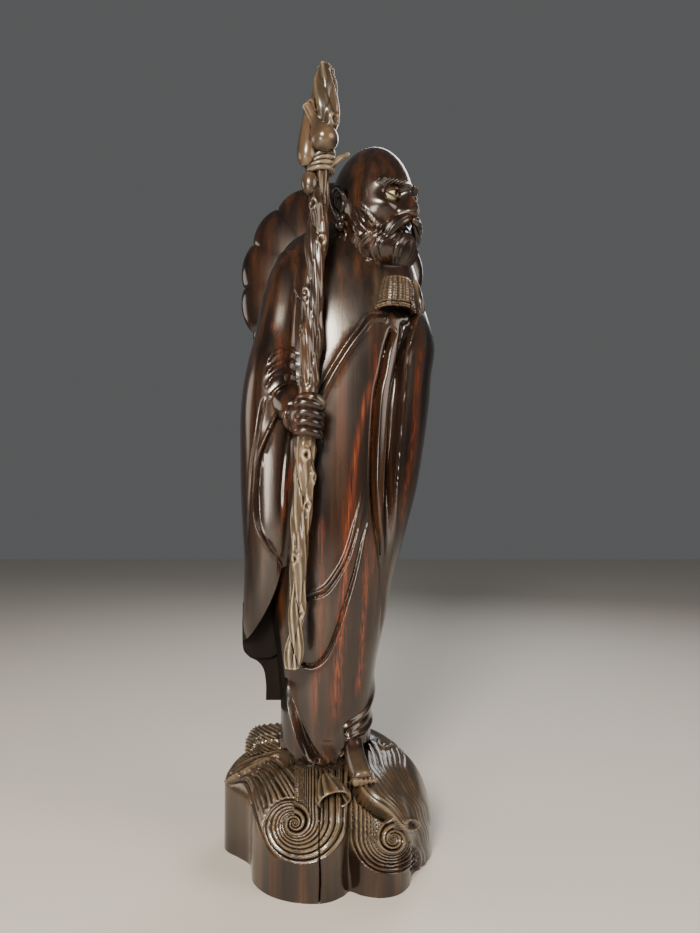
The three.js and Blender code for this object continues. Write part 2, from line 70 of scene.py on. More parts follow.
def smoothRows(rows, place):
    # a smooth curve through the rows; each row starts with its place
    table = np.array(rows, float)
    at = np.clip(place, table[0, 0], table[-1, 0])
    k = np.clip(np.searchsorted(table[:, 0], at, side="left") - 1, 0, len(table) - 2)
    before, after = np.maximum(k - 1, 0), np.minimum(k + 2, len(table) - 1)
    where, values = table[:, 0], table[:, 1:]
    span = where[k + 1] - where[k]
    t = (at - where[k]) / span
    slopeHere = (values[k + 1] - values[before]) * (span / (where[k + 1] - where[before]))[:, None]
    slopeNext = (values[after] - values[k]) * (span / (where[after] - where[k]))[:, None]
    t = t[:, None]
    start = (2 * t**3 - 3 * t**2 + 1) * values[k] + (t**3 - 2 * t**2 + t) * slopeHere
    end = (3 * t**2 - 2 * t**3) * values[k + 1] + (t**3 - t**2) * slopeNext
    return start + end


def smoothLine(points, perSpan=8):
    # the points and the smooth curve between them
    points = np.array(points, float)
    steps = np.linspace(0, len(points) - 1, (len(points) - 1) * perSpan + 1)
    return smoothRows(np.column_stack([np.arange(len(points)), points]), steps)


def nearLine(x, z, points):
    # distance to a smooth line, plus on the left of its run, and how far along it, 0 to 1
    line = smoothLine(points)
    runs = np.hypot(*(line[1:] - line[:-1]).T)
    total, before = runs.sum(), np.concatenate([[0], np.cumsum(runs)])
    best = np.full(x.shape, 1e9)
    side, along = np.ones(x.shape), np.zeros(x.shape)
    for k in range(len(line) - 1):
        dx, dz = line[k + 1] - line[k]
        u = np.clip(((x - line[k, 0]) * dx + (z - line[k, 1]) * dz) / (runs[k] ** 2), 0, 1)
        px, pz = x - line[k, 0] - u * dx, z - line[k, 1] - u * dz
        away = np.hypot(px, pz)
        closer = away < best
        best = np.where(closer, away, best)
        side = np.where(closer, np.where(dx * pz - dz * px < 0, -1.0, 1.0), side)
        along = np.where(closer, (before[k] + u * runs[k]) / total, along)
    return best * side, along


def carve(x, z, strokes):
    # the height that a set of carved strokes adds at each place
    height = np.zeros(x.shape)
    for kind, amount, width, fade, ends, points in strokes:
        # past this distance a stroke adds nothing
        reach = 3.2 * (width if kind in ("ridge", "groove") else max(width, fade))
        span = np.array(points, float)
        lowX, lowZ = span.min(0) - reach
        highX, highZ = span.max(0) + reach
        near = (x > lowX) & (x < highX) & (z > lowZ) & (z < highZ)
        if not near.any():
            continue
        side, along = nearLine(x[near], z[near], points)
        taper = smoothStep(0, max(ends[0], 1e-3), along) * smoothStep(0, max(ends[1], 1e-3), 1 - along)
        if kind == "ridge":
            shape = np.exp(-((side / width) ** 2))
        elif kind == "groove":
            shape = -np.exp(-((side / width) ** 2))
        elif kind == "lap":  # the cloth on the left of the line lies on top
            held = fade * (0.12 + 0.88 * smoothStep(0, 0.45, along) * smoothStep(0, 0.45, 1 - along))
            shape = smoothStep(-width, width, side) * np.exp(-np.maximum(side, 0) / held)
            shape = shape - 0.4 * np.exp(-(((side + 1.5 * width) / width) ** 2))
        else:  # "sink": all on the left of the line lies lower
            shape = -smoothStep(-width, width, side) * np.exp(-np.maximum(side, 0) / fade)
        height[near] += amount * taper * shape
    return height


# Small tools for meshes
def readPlaces(mesh):
    flat = np.empty(len(mesh.vertices) * 3)
    mesh.vertices.foreach_get("co", flat)
    return flat.reshape(-1, 3)


def inside(t):
    # 0 on the first and last ring, which close to a point
    return ((t > 1e-5) & (t < 1 - 1e-5)).astype(float)


def newObject(name, mesh):
    thing = bpy.data.objects.new(name, mesh)
    bpy.context.scene.collection.objects.link(thing)
    return thing


def wrapped(name, around, along, place, lean=0.0):
    # a grid rolled into a closed skin; place gives millimetres from the bearing and the run, 0 to 1
    # lean draws the columns towards the front
    around, along = max(8, int(around * fine)), max(6, int(along * fine))
    bm = bmesh.new()
    bmesh.ops.create_grid(bm, x_segments=around, y_segments=along, size=1)
    mesh = bpy.data.meshes.new(name)
    bm.to_mesh(mesh)
    bm.clear()
    flat = readPlaces(mesh)
    bearing = flat[:, 0] * math.pi
    places = np.column_stack(place(bearing - lean * np.sin(bearing), (flat[:, 1] + 1) / 2))
    mesh.vertices.foreach_set("co", (places * mm).ravel())
    bm.from_mesh(mesh)
    border = np.nonzero((np.abs(np.abs(flat[:, :2]) - 1) < 1e-6).any(axis=1))[0]
    bm.verts.ensure_lookup_table()
    bmesh.ops.remove_doubles(bm, verts=[bm.verts[i] for i in border], dist=1e-5)
    if bm.calc_volume(signed=True) < 0:
        bmesh.ops.reverse_faces(bm, faces=bm.faces[:])
    bm.to_mesh(mesh)
    bm.free()
    return newObject(name, mesh)


def globe(bearing, t):
    # on a ball of radius 1: the height, the radius there, and how far right and forward
    up, flat = -np.cos(t * math.pi), np.sin(t * math.pi)
    return up, flat, flat * np.sin(bearing), flat * np.cos(bearing)


def ball(name, centre, halves, around=40, along=28):
    # an egg shape
    def place(bearing, t):
        up, flat = globe(bearing, t)[:2]
        x, y = halves[0] * flat * np.sin(bearing), -halves[1] * flat * np.cos(bearing)
        return centre[0] + x, centre[1] + y, centre[2] + halves[2] * up
    return wrapped(name, around, along, place)


def about(place, points, side=1):
    # points measured from a place, mirrored left to right when side is -1
    return [(place[0] + side * x, place[1] + y, place[2] + z) for x, y, z in points]


def limb(name, points, radii, around=24, along=60, squash=1.0, relief=None):
    # a rounded bar along a smooth line, its radius changing from point to point
    rows = np.column_stack([np.arange(len(points)), np.array(points, float), np.array(radii, float)])
    last = len(points) - 1
    step = 0.02
    length = np.linalg.norm(rows[-1, 1:4] - rows[0, 1:4])
    cap = min(0.45, 0.5 * float(np.mean(radii)) / max(length, 1e-3))  # share of the run that rounds off

    def place(bearing, t):
        spot = smoothRows(rows, t * last)
        ahead = smoothRows(rows, np.minimum(t * last + step, last))[:, :3]
        behind = smoothRows(rows, np.maximum(t * last - step, 0))[:, :3]
        run = ahead - behind
        run /= np.linalg.norm(run, axis=1)[:, None]
        helper = np.where(np.abs(run[:, 2:3]) > 0.9, [[1.0, 0, 0]], [[0, 0, 1.0]])
        across = np.cross(run, helper)
        across /= np.linalg.norm(across, axis=1)[:, None]
        up = np.cross(across, run)
        end = np.minimum(np.minimum(t, 1 - t) / cap, 1)
        size = spot[:, 3] * np.sqrt(np.clip(1 - (1 - end) ** 2, 0, 1))
        if relief is not None:
            size = size * relief(bearing, t)
        out = across * np.sin(bearing)[:, None] + up * (np.cos(bearing) * squash)[:, None]
        spots = spot[:, :3] + out * size[:, None]
        return spots[:, 0], spots[:, 1], spots[:, 2]
    return wrapped(name, around, along, place)


def turned(name, profile, around=48, along=80, relief=None):
    # a closed shape turned about the upright, from radius and height pairs
    rows = np.column_stack([np.linspace(0, 1, len(profile)), np.array(profile, float)])

    def place(bearing, t):
        spot = smoothRows(rows, t)
        radius = np.maximum(spot[:, 0], 0) * inside(t)
        if relief is not None:
            radius = radius * relief(bearing, spot[:, 1])
        return radius * np.sin(bearing), -radius * np.cos(bearing), spot[:, 1]
    return wrapped(name, around, along, place)


def placed(thing, turn=(0, 0, 0), to=(0, 0, 0)):
    # turns a mesh in degrees about X, Y and Z and moves it in millimetres
    spin = Euler([math.radians(v) for v in turn]).to_matrix().to_4x4()
    thing.data.transform(Matrix.Translation([v * mm for v in to]) @ spin)
    return thing


def plate(name, outline, front, back):
    # a flat outline in X and Z, given as a smooth line, made solid from front to back
    bm = bmesh.new()
    corners = [bm.verts.new((x * mm, front * mm, z * mm)) for x, z in outline]
    face = bm.faces.new(corners)
    made = bmesh.ops.extrude_face_region(bm, geom=[face])
    pushed = [g for g in made["geom"] if isinstance(g, bmesh.types.BMVert)]
    bmesh.ops.translate(bm, verts=pushed, vec=(0, (back - front) * mm, 0))
    bmesh.ops.recalc_face_normals(bm, faces=bm.faces[:])
    mesh = bpy.data.meshes.new(name)
    bm.to_mesh(mesh)
    bm.free()
    return newObject(name, mesh)


def applied(thing):
    # puts the modifier's result in place of the mesh, and gives the old mesh back
    graph = bpy.context.evaluated_depsgraph_get()
    mesh = bpy.data.meshes.new_from_object(thing.evaluated_get(graph))
    thing.modifiers.clear()
    old, thing.data = thing.data, mesh
    return old


def combine(thing, others, operation="UNION"):
    # joins or cuts whole solids, one after another
    for other in others:
        tool = thing.modifiers.new("join", "BOOLEAN")
        tool.operation = operation
        tool.solver = "MANIFOLD"
        tool.object = other
        bpy.data.meshes.remove(applied(thing))
        bpy.data.meshes.remove(other.data)  # takes its object with it
    return thing


def thinned(thing, limit):
    # fewer triangles where the skin is smooth
    thing.data.calc_loop_triangles()
    count = len(thing.data.loop_triangles)
    if count > limit:
        thing.modifiers.new("thin", "DECIMATE").ratio = limit / count
        applied(thing)


# Robe: rounded sections from the hem to the shoulders
robe = {
    "fullness": 2.3,
    "low": 56,
    "high": 546,
    "rows": [  # height, left, right, front, back
        [56, -32, 34, -32, 34], [84, -38.5, 40, -38, 38], [100, -38, 41, -39.5, 40],
        [130, -38, 42.5, -42, 43], [163, -41, 46, -45, 46], [200, -46, 54, -48, 48],
        [243, -52, 62, -51, 49], [281, -56, 71, -53, 50], [316, -59, 80, -54, 50],
        [347, -61, 85.4, -55, 49], [388, -66, 91.4, -56, 48], [413, -67, 94, -56, 47],
        [440, -60.5, 98, -55, 46], [470, -55, 91, -52, 45], [496, -48.6, 84.5, -47, 43],
        [516, -43, 79, -42, 41], [534, -32, 68, -35, 37], [546, -12, 54, -28, 30],
    ],
}
# kind, height, width, fade, taper at both ends, points in X and Z
robeFolds = [
    ("ridge", 2.4, 2.2, 0, (0.02, 0.1), [(54, 455.4), (45.5, 455.5), (39.4, 452.7), (32.8, 443.5),
        (24.2, 432), (13.8, 415.7), (5.8, 401.7), (-3, 384)]),
    ("groove", 1.4, 1.4, 0, (0.1, 0.1), [(52, 460), (45, 460), (37.4, 457), (30, 447.6), (21, 436),
        (10.6, 419.6), (2.6, 405.6), (-6, 388)]),
    ("groove", 6.0, 2.2, 0, (0.02, 0.35), [(60, 449), (53.4, 429), (50.2, 412), (45.7, 393), (43.2, 361),
        (42, 321), (44, 290), (49.6, 255), (50.5, 222)]),
    ("lap", 2.4, 1.3, 9, (0.05, 0.3), [(61, 449), (55, 429), (51.8, 412), (47.3, 393), (45, 361),
        (43.6, 321), (46, 290), (51, 255)]),
    ("groove", 6.5, 3.0, 0, (0.02, 0.4), [(70.7, 456), (65, 420), (60.4, 394), (57.4, 363), (55.4, 321),
        (53.6, 288), (52, 254)]),
    ("lap", 4.2, 1.3, 34, (0.05, 0.25), [(81.8, 473.7), (73.2, 446), (67.8, 422.5), (65.6, 400),
        (62.4, 368), (58.8, 321), (57, 279), (54.4, 245), (52, 215)]),
    ("ridge", 1.3, 1.1, 0, (0.05, 0.4), [(83, 473), (74.4, 446), (69, 422.5), (67, 400), (63.8, 368),
        (60.2, 321), (58.4, 279), (55.8, 245)]),
    ("groove", 1.2, 2.2, 0, (0.3, 0.3), [(83.5, 468.5), (89.5, 449), (88.3, 425), (83.8, 398.6),
        (77.6, 355)]),
    ("groove", 2.6, 1.4, 0, (0.3, 0.15), [(43, 320), (46, 290), (50, 262), (50.4, 236), (51.5, 207),
        (48.2, 184)]),
    ("ridge", 1.7, 1.5, 0, (0.02, 0.45), [(-18, 226), (-12, 227), (1.6, 231.7), (12.3, 245.5), (20.2, 261),
        (27.9, 287.3), (32, 303), (37, 326)]),
    ("groove", 1.5, 1.1, 0, (0.02, 0.4), [(-16, 223), (-10, 223.6), (3.2, 228.4), (14.6, 243.5),
        (22.8, 260), (30.3, 286), (34.6, 303)]),
    ("groove", 2.0, 1.2, 0, (0.02, 0.4), [(-20, 170), (-15.5, 169), (-7.5, 168.5), (1.6, 175.7),
        (9.7, 191.5), (17.6, 215), (26.8, 245), (33.3, 274), (37.3, 290), (40, 321)]),
    ("ridge", 1.2, 1.9, 0, (0.02, 0.5), [(-18, 166), (-7, 165), (4, 172.4), (12.6, 190), (20.6, 214),
        (29.6, 244), (36, 274)]),
    ("groove", 5.5, 2.5, 0, (0.12, 0.06), [(-33, 156), (-30.2, 145), (-26.2, 131), (-20.6, 117),
        (-14.8, 103.4), (-9, 92.6), (-3, 86)]),
    ("lap", 2.6, 1.3, 20, (0.1, 0.02), [(-29.5, 156), (-28, 148), (-24.3, 139), (-18.1, 124), (-12, 111),
        (-6.9, 101), (-1, 92.6), (5, 85)]),
    ("ridge", 1.0, 0.9, 0, (0.1, 0.05), [(-33.4, 147), (-30.9, 133), (-26.4, 119), (-21.3, 104.6),
        (-16, 93.5), (-8.6, 85.7)]),
    ("ridge", 2.4, 1.9, 0, (0.12, 0.3), [(15.5, 112), (20.9, 117.4), (28.6, 121), (35.6, 124.7),
        (39.3, 129.7), (43, 138.6), (44.6, 153)]),
    ("groove", 2.0, 1.8, 0, (0.12, 0.3), [(17, 108), (22.5, 113), (29.6, 116.5), (37, 120), (41.5, 126)]),
    ("ridge", 2.2, 1.8, 0, (0.12, 0.2), [(18, 104.4), (28.6, 108.4), (35.7, 109.2), (39.8, 112),
        (42.5, 118)]),
    ("lap", 2.2, 0.8, 12, (0.05, 0.25), [(8, 85.5), (12, 90), (17.6, 99), (19.3, 107), (15, 118)]),
    ("lap", 1.9, 0.9, 12, (0.3, 0.02), [(-34.6, 520), (-32.6, 512), (-29.8, 500), (-23.5, 482),
        (-13.8, 464)]),
    ("lap", 1.7, 0.9, 10, (0.02, 0.3), [(-14.7, 464), (-17.5, 486), (-19.3, 507.5), (-20.7, 533)]),
]
# the same for the back, where X is seen from behind
backFolds = [
    ("lap", 2.4, 1.0, 22, (0.1, 0.3), [(-30, 402), (-26, 350), (-20, 290), (-15, 230), (-12, 160)]),
    ("groove", 3.2, 2.2, 0, (0.1, 0.3), [(-34, 402), (-30, 350), (-24, 290), (-19, 230), (-15, 150)]),
    ("lap", 2.2, 1.0, 18, (0.1, 0.3), [(8, 398), (6, 340), (4, 280), (2, 210), (0, 140)]),
    ("groove", 3.0, 2.2, 0, (0.1, 0.3), [(4, 398), (2, 340), (0, 280), (-2, 210), (-3, 140)]),
    ("lap", 2.6, 1.0, 20, (0.1, 0.3), [(46, 402), (42, 350), (36, 290), (28, 220), (20, 150)]),
    ("groove", 3.2, 2.2, 0, (0.1, 0.3), [(42, 402), (38, 350), (32, 290), (24, 220), (17, 150)]),
    ("lap", 2.2, 1.0, 30, (0.05, 0.05), [(38, 118), (20, 108), (0, 105), (-20, 108), (-38, 118)]),
]


def sectionPlace(rows, fullness, bearing, z):
    # a place on the rounded section, its middle, and the way out
    left, right, front, back = smoothRows(rows, z).T
    power = 2 / fullness
    side = np.sign(np.sin(bearing)) * np.abs(np.sin(bearing)) ** power
    ahead = np.sign(np.cos(bearing)) * np.abs(np.cos(bearing)) ** power
    midX, midY = (left + right) / 2, (front + back) / 2
    halfX, halfY = (right - left) / 2, (back - front) / 2
    outX = np.sign(side) * np.abs(side) ** (fullness - 1) / halfX
    outY = -np.sign(ahead) * np.abs(ahead) ** (fullness - 1) / halfY
    size = np.hypot(outX, outY) + 1e-9
    return midX + side * halfX, midY - ahead * halfY, midX, midY, outX / size, outY / size


def clothPlace(look, bearing, t, liftOf):
    # a place on a piece of cloth; liftOf gives the height of its folds
    z = look["low"] + (look["high"] - look["low"]) * t
    x, y, midX, midY, outX, outY = sectionPlace(look["rows"], look["fullness"], bearing, z)
    lift, skin = liftOf(x, z), inside(t)
    return midX + skin * (x + outX * lift - midX), midY + skin * (y + outY * lift - midY), z


def makeRobe():
    def place(bearing, t):
        front = np.cos(bearing) > -0.05

        def liftOf(x, z):
            lift = np.zeros(x.shape)
            lift[front] = carve(x[front], z[front], robeFolds + armFolds)
            lift[~front] = carve(x[~front], z[~front], backFolds)
            hemLine = np.where(front, smoothRows(hem["rows"], x)[:, 0], hem["back"])
            return lift - hem["tuck"] * smoothStep(1.2, -1.2, z - hemLine)
        return clothPlace(robe, bearing, t, liftOf)
    return wrapped("robe", 420, 560, place, 0.45)


hem = {  # height of the robe's lower edge from left to right
    "tuck": 7.0,
    "back": 84.0,
    "rows": [
        [-38, 99], [-28, 91.5], [-18, 87.4], [-8, 85], [0, 84],
        [8, 86], [16, 90.5], [22, 95], [29, 97.4], [40, 96],
    ],
}

# Right arm and hanging sleeve
sleeve = {
    "fullness": 2.6,
    "low": 166,
    "high": 520,
    "rows": [
        [166, -66, -38, -14, 20], [178, -70.5, -33, -26, 25], [196, -70.5, -28, -40, 27],
        [219, -69, -22, -47, 28], [251, -68, -17, -52, 28], [278, -69.4, -14, -55, 28],
        [309, -71, -12, -57, 28], [345, -71.4, -11, -60, 27], [376, -71.2, -12, -62, 25],
        [400, -69, -14, -62, 25], [422, -65.4, -14, -58, 26], [446, -60.2, -12, -52, 28],
        [472, -55.6, -10, -48, 30], [500, -48.6, -10, -42, 30], [520, -40, -12, -34, 24],
    ],
    "forearm": [(-40, -30, 394), (-32, -44, 388), (-24, -58, 379), (-18, -68, 372)],
    "forearmRadii": [19, 18, 15, 11],
    "lowEdge": [(-85, 176), (-68, 184), (-57, 196), (-46, 214), (-38, 232), (-33.5, 248)],
    "cutDepth": (-90, -16),
    "panelEdge": [(-70.5, 215), (-70.5, 179), (-66, 169.4), (-57, 164), (-52, 157), (-50, 145), (-50, 131)],
    "panelDepth": (-12, 15),
}
sleeveFolds = [
    ("sink", 4.6, 1.3, 70, (0.03, 0.01), [(-17, 389.5), (-22.6, 387), (-28, 383), (-32.4, 378.6),
        (-39.6, 364.7), (-50.4, 340.4), (-53.9, 321.7), (-54.9, 301), (-52.4, 282.4), (-43.3, 266.5),
        (-35.2, 256), (-30, 246)]),
    ("ridge", 0.9, 1.2, 0, (0.03, 0.01), [(-19.5, 390), (-27, 386), (-33.6, 380), (-41.2, 365.6),
        (-52, 341), (-55.5, 322), (-56.5, 301), (-54, 281.5), (-44.8, 265.4), (-36.5, 255)]),
    ("groove", 1.8, 1.2, 0, (0.1, 0.2), [(-45.6, 390), (-49.5, 374.5), (-52.9, 356), (-57.6, 337),
        (-59.6, 318), (-61.5, 288), (-62.8, 255)]),
    ("groove", 1.2, 2.0, 0, (0.3, 0.3), [(-24, 372), (-30, 340), (-33, 310), (-33, 285)]),
]
armFolds = [  # crescent folds where the elbow bends
    ("ridge", 1.7, 1.3, 0, (0.15, 0.3), [(-46.2, 415.4), (-40.8, 424), (-34.8, 428), (-27, 429.6),
        (-18, 424)]),
    ("ridge", 1.5, 1.2, 0, (0.15, 0.3), [(-46, 406.5), (-38.8, 415), (-32, 418.6), (-25, 419.4), (-18, 415)]),
    ("ridge", 1.6, 1.2, 0, (0.15, 0.3), [(-45.6, 396), (-40.4, 404.4), (-34.4, 408.8), (-27, 410.4),
        (-18, 406)]),
    ("ridge", 1.6, 1.3, 0, (0.15, 0.3), [(-42.5, 387.6), (-36, 395), (-29, 399.6), (-22.2, 400.6),
        (-15, 397)]),
]


def makeSleeve():
    def place(bearing, t):
        front = np.cos(bearing) > 0

        def liftOf(x, z):
            lift = np.zeros(x.shape)
            lift[front] = carve(x[front], z[front], sleeveFolds + armFolds)
            return lift
        return clothPlace(sleeve, bearing, t, liftOf)
    hanging = wrapped("sleeve", 260, 420, place, 0.3)
    forearm = limb("forearm", sleeve["forearm"], sleeve["forearmRadii"], 60, 60)
    # the front is cut away below its lower edge, and the panel behind hangs on below that
    low = smoothLine(sleeve["lowEdge"], 4)
    gap = plate("hemGap", [*map(tuple, low), (-8, 262), (-8, 140), (-85, 140)], *sleeve["cutDepth"])
    hanging = combine(hanging, [gap], "DIFFERENCE")
    edge = smoothLine(sleeve["panelEdge"], 4)
    panel = plate("backPanel", [*map(tuple, edge), (-30, 131), (-30, 215)], *sleeve["panelDepth"])
    return combine(hanging, [forearm, panel])


# Head: calm and even, bald, with brows, a full combed beard, and a bead and a ring at each ear
head = {
    "place": (43, -14, 562),
    "yaw": 48,
    "halfWidth": 33,
    "halfDepth": 39,
    "halfHeight": 51,
    "strands": 17,
    "fineStrands": 29,
    "whisker": [(1.2, -43, -17.5), (8, -42.5, -20.5), (15, -37.5, -26), (19, -32, -34), (19.5, -29, -42)],
    "whiskerRadii": [2.6, 4.0, 4.4, 3.6, 1.4],
    "sideburn": [(31, -6, 0), (31, -9, -12), (29.5, -12, -23), (25, -15, -33)],
    "sideburnRadii": [1.5, 4.6, 7.5, 9.0],
}


def makeHead():
    wide, deep, tall = head["halfWidth"], head["halfDepth"], head["halfHeight"]

    def place(bearing, t):
        up, _, side, ahead = globe(bearing, t)
        jaw = smoothStep(-0.05, -0.8, up)
        nape = smoothStep(0.15, -0.7, up) * smoothStep(0.1, -0.6, ahead)
        x = side * wide * (1 - 0.15 * jaw)
        y = ahead * deep * np.where(ahead > 0, 1 - 0.03 * jaw, 1.1 - 0.4 * nape)
        z = up * tall * np.where(up > 0, 1.08, 1)
        facing = smoothStep(0.15, 0.6, ahead)
        face = np.abs(x)
        # bone above the eyes, sockets, nose with its sides, cheekbones and lips
        out = 3.0 * np.exp(-(((z - 10 - 0.02 * face**2 * 0.3) / 3.6) ** 2)) * smoothStep(27, 20, face)
        out -= 5.5 * np.exp(-(((z - 1) / 6.5) ** 2) - ((face - 13) / 9) ** 2)
        rise = smoothStep(9, -15, z) * smoothStep(-19.5, -16.5, z)
        bridge = (2.2 + 8.6 * rise) * np.exp(-((face / (3.6 + 2.4 * rise)) ** 2))
        out += bridge * smoothStep(-20, -17, z) * smoothStep(16, 6, z)
        out += 3.0 * np.exp(-(((face - 6.4) / 3.0) ** 2) - ((z + 14) / 3.4) ** 2)
        out += 2.4 * np.exp(-(((face - 20) / 8) ** 2) - ((z + 6) / 8) ** 2)
        mouth = smoothStep(13, 9, face)
        out += mouth * (1.5 * bell(z, -23.6, 1.7) - 1.8 * bell(z, -26.2, 1.0) + 1.9 * bell(z, -28.8, 2.0))
        # the beard starts below a line from the ear to the corner of the mouth
        turn = np.arctan2(face, np.maximum(ahead, -0.2) * deep + 8)
        line = 2 - 26 * smoothStep(1.35, 0.35, turn)
        under = smoothStep(8, 12, face) + smoothStep(-31, -34, z)
        hair = smoothStep(2.0, -2.0, z - line) * np.clip(under, 0, 1) * smoothStep(-0.3, 0.05, ahead)
        bend = turn + 0.10 * np.sin((z - line) / 9) - 0.004 * (z - line)
        strand = np.abs(np.cos(math.pi * head["strands"] * bend)) ** 0.7 - 0.6
        strand += 0.35 * np.cos(2 * math.pi * head["fineStrands"] * bend + z / 7)
        full = smoothStep(-14, -40, z)
        out += hair * (1.2 + 2.0 * full * (0.4 + 0.6 * facing) + 0.3 * strand)
        brow = bell(z, 11.5 + 0.05 * (face - 12), 2.6) * smoothStep(3, 7, face) * smoothStep(27, 21, face)
        out += brow * (2.0 + 0.8 * np.cos(2 * math.pi * (face * 0.36 + z * 0.25)))
        grow = 1 + out * np.where(ahead > 0, 1, 0.5) * 0.28 / deep
        push = out * np.maximum(ahead, 0) ** 0.5
        return x * grow, -y * grow - push, z

    def combed(bearing, t):
        return 1 + 0.12 * np.cos(6 * bearing + 9 * t) * smoothStep(0, 0.1, t)
    skull = wrapped("skull", 380, 320, place, 0.3)
    parts = []
    for side in (-1, 1):
        parts += eyeParts(side) + earParts(side)
        for name, around, along in (("sideburn", 90, 90), ("whisker", 60, 80)):
            points = about((0, 0, 0), head[name], side)
            parts.append(limb(name, points, head[name + "Radii"], around, along, 1.0, combed))
    parts.append(beardSkin())
    return placed(combine(skull, parts), (0, 0, head["yaw"]), head["place"])


beard = {"place": (0, -13, -36), "halves": (32.5, 28, 25.5), "strands": 62}


def beardSkin():
    # combed strands run from the ears down to the chin, parted below the mouth
    def place(bearing, t):
        up, flat, side, ahead = globe(bearing, t)
        parting = smoothStep(0.05, 0.9, up) * smoothStep(-0.1, 0.5, ahead)
        size = 1 - 0.3 * parting - 0.12 * smoothStep(0.2, 1, up)
        comb = np.abs(bearing) * (1 + 0.25 * up) + 0.16 * np.sin(4.2 * up) + 0.05 * np.sin(9 * bearing)
        strand = np.abs(np.cos(comb * beard["strands"] / 4)) ** 0.7 - 0.5
        strand += 0.35 * np.cos(comb * beard["strands"] * 0.83 + 3 * up)
        ripple = 0.030 * strand + 0.035 * np.cos(3.2 * comb + 2.2 * up)
        size = size * (1 + ripple * smoothStep(0, 0.4, flat))
        wide, deep, tall = beard["halves"]
        middle = beard["place"]
        return middle[0] + wide * side * size, middle[1] - deep * ahead * size, middle[2] + tall * up
    return wrapped("beard", 300, 160, place)


# points are measured from the middle of the eye or ear, outwards first, and serve both sides
eye = {
    "across": 12.6,
    "sunk": 8.0,
    "up": 1.5,
    "halves": (6.6, 5.8, 4.4),
    "pupil": 2.2,
    "upperLid": [(-7.4, -2.6, -0.4), (-3.6, -6.0, 2.9), (1.5, -6.0, 3.3), (7.6, -0.8, 0.4)],
    "lowerLid": [(-7.4, -2.6, -0.4), (-3.2, -5.6, -3.0), (2.2, -5.2, -2.9), (7.6, -0.8, 0.2)],
}
ear = {
    "outward": 0.97,  # of the head's half width
    "back": 7.0,
    "rim": [
        (-1.5, -4, -8), (2.4, -4.5, 2), (4.4, -2, 9), (5.2, 3, 11.5),
        (5.4, 8, 7), (4.8, 7, -3), (3.2, 3.5, -11), (1.6, 0.5, -15),
    ],
    "rimRadii": [1.8, 2.0, 2.2, 2.3, 2.3, 2.1, 2.4, 2.8],
    "fold": [(3, -1, 6), (4.0, 3.4, 4), (3.6, 4, -3), (2.4, 0.5, -7)],
    "foldRadii": [1.0, 1.3, 1.3, 1.0],
}


def eyePlace(side):
    return eye["across"] * side, -head["halfDepth"] + eye["sunk"], eye["up"]


def eyeParts(side):
    middle = eyePlace(side)
    eyeball = ball("eyeball", middle, eye["halves"], 40, 28)
    upper = limb("upperLid", about(middle, eye["upperLid"], side), [1.0, 1.5, 1.6, 1.1], 16, 36)
    lower = limb("lowerLid", about(middle, eye["lowerLid"], side), [0.9, 1.1, 1.1, 0.9], 16, 36)
    return [eyeball, upper, lower]


def earParts(side):
    x, back = head["halfWidth"] * side * ear["outward"], ear["back"]
    middle = (x, back, 0)
    ring = [
        (x + 1.8 * side, back - 1 + 5.2 * math.sin(a), -30.5 + 5.4 * math.cos(a))
        for a in np.linspace(0, 2 * math.pi, 13)
    ]
    return [
        limb("earRim", about(middle, ear["rim"], side), ear["rimRadii"], 18, 90),
        ball("earBowl", *about(middle, [(0.5, 2, 0)], side), (3.4, 6.5, 10.5), 32, 24),
        limb("earFold", about(middle, ear["fold"], side), ear["foldRadii"], 14, 36),
        ball("earLobe", *about(middle, [(1.4, -0.5, -15)], side), (2.8, 3.8, 4.6), 28, 20),
        ball("earBead", *about(middle, [(3.4, -1, -22)], side), (5, 5, 4.8), 32, 24),
        limb("earRing", ring, [1.7] * 13, 14, 72),
    ]


neck = {
    "place": (37, -6, 0),
    "profile": [(0, 492), (26, 492), (27, 500), (25, 512), (23.5, 524), (23, 545), (0, 545)],
    "collar": [(14, -22, 515), (24, -36, 510), (42, -40, 507), (58, -32, 508), (66, -18, 512)],
    "collarRadii": [2.4, 3.2, 3.4, 3.0, 2.2],
}


def makeNeck():
    throat = placed(turned("neck", neck["profile"], 90, 120), (0, 0, 0), neck["place"])
    collar = limb("collar", neck["collar"], neck["collarRadii"], 24, 90)
    shoulders = ball("shoulders", (32, -1, 530), (36, 31, 25), 90, 60)
    return combine(throat, [shoulders, collar])


# Hat on the back, crown to the rear
hat = {"place": (6, 36, 506), "halfWidth": 88, "halfHeight": 103, "depth": 37, "front": 20, "lobes": 14}


def makeHat():
    def place(bearing, t):
        # the bearing runs round the rim and t from the front to the crown
        reach = np.sin(t * math.pi)
        depth = -np.cos(t * math.pi)
        crease = np.abs(np.cos(bearing * hat["lobes"] / 2))
        puff = 1 - 0.055 * (1 - crease**0.55) * smoothStep(0.25, 1, reach)
        back = hat["depth"] * np.sign(depth) * np.abs(depth) ** 0.9
        back = back * (1 - 0.16 * (1 - crease**0.6) * smoothStep(0.15, 0.6, reach))
        y = np.where(depth > 0, back, hat["front"] * depth)
        across = hat["halfWidth"] * reach * puff * np.sin(bearing)
        up = hat["halfHeight"] * reach * puff * np.cos(bearing)
        return hat["place"][0] + across, hat["place"][1] + y, hat["place"][2] + up
    dome = wrapped("hat", 336, 120, place)
    knob = ball("hatKnob", *about(hat["place"], [(0, hat["depth"] - 1, 0)]), (9, 5, 9), 40, 30)
    return combine(dome, [knob])


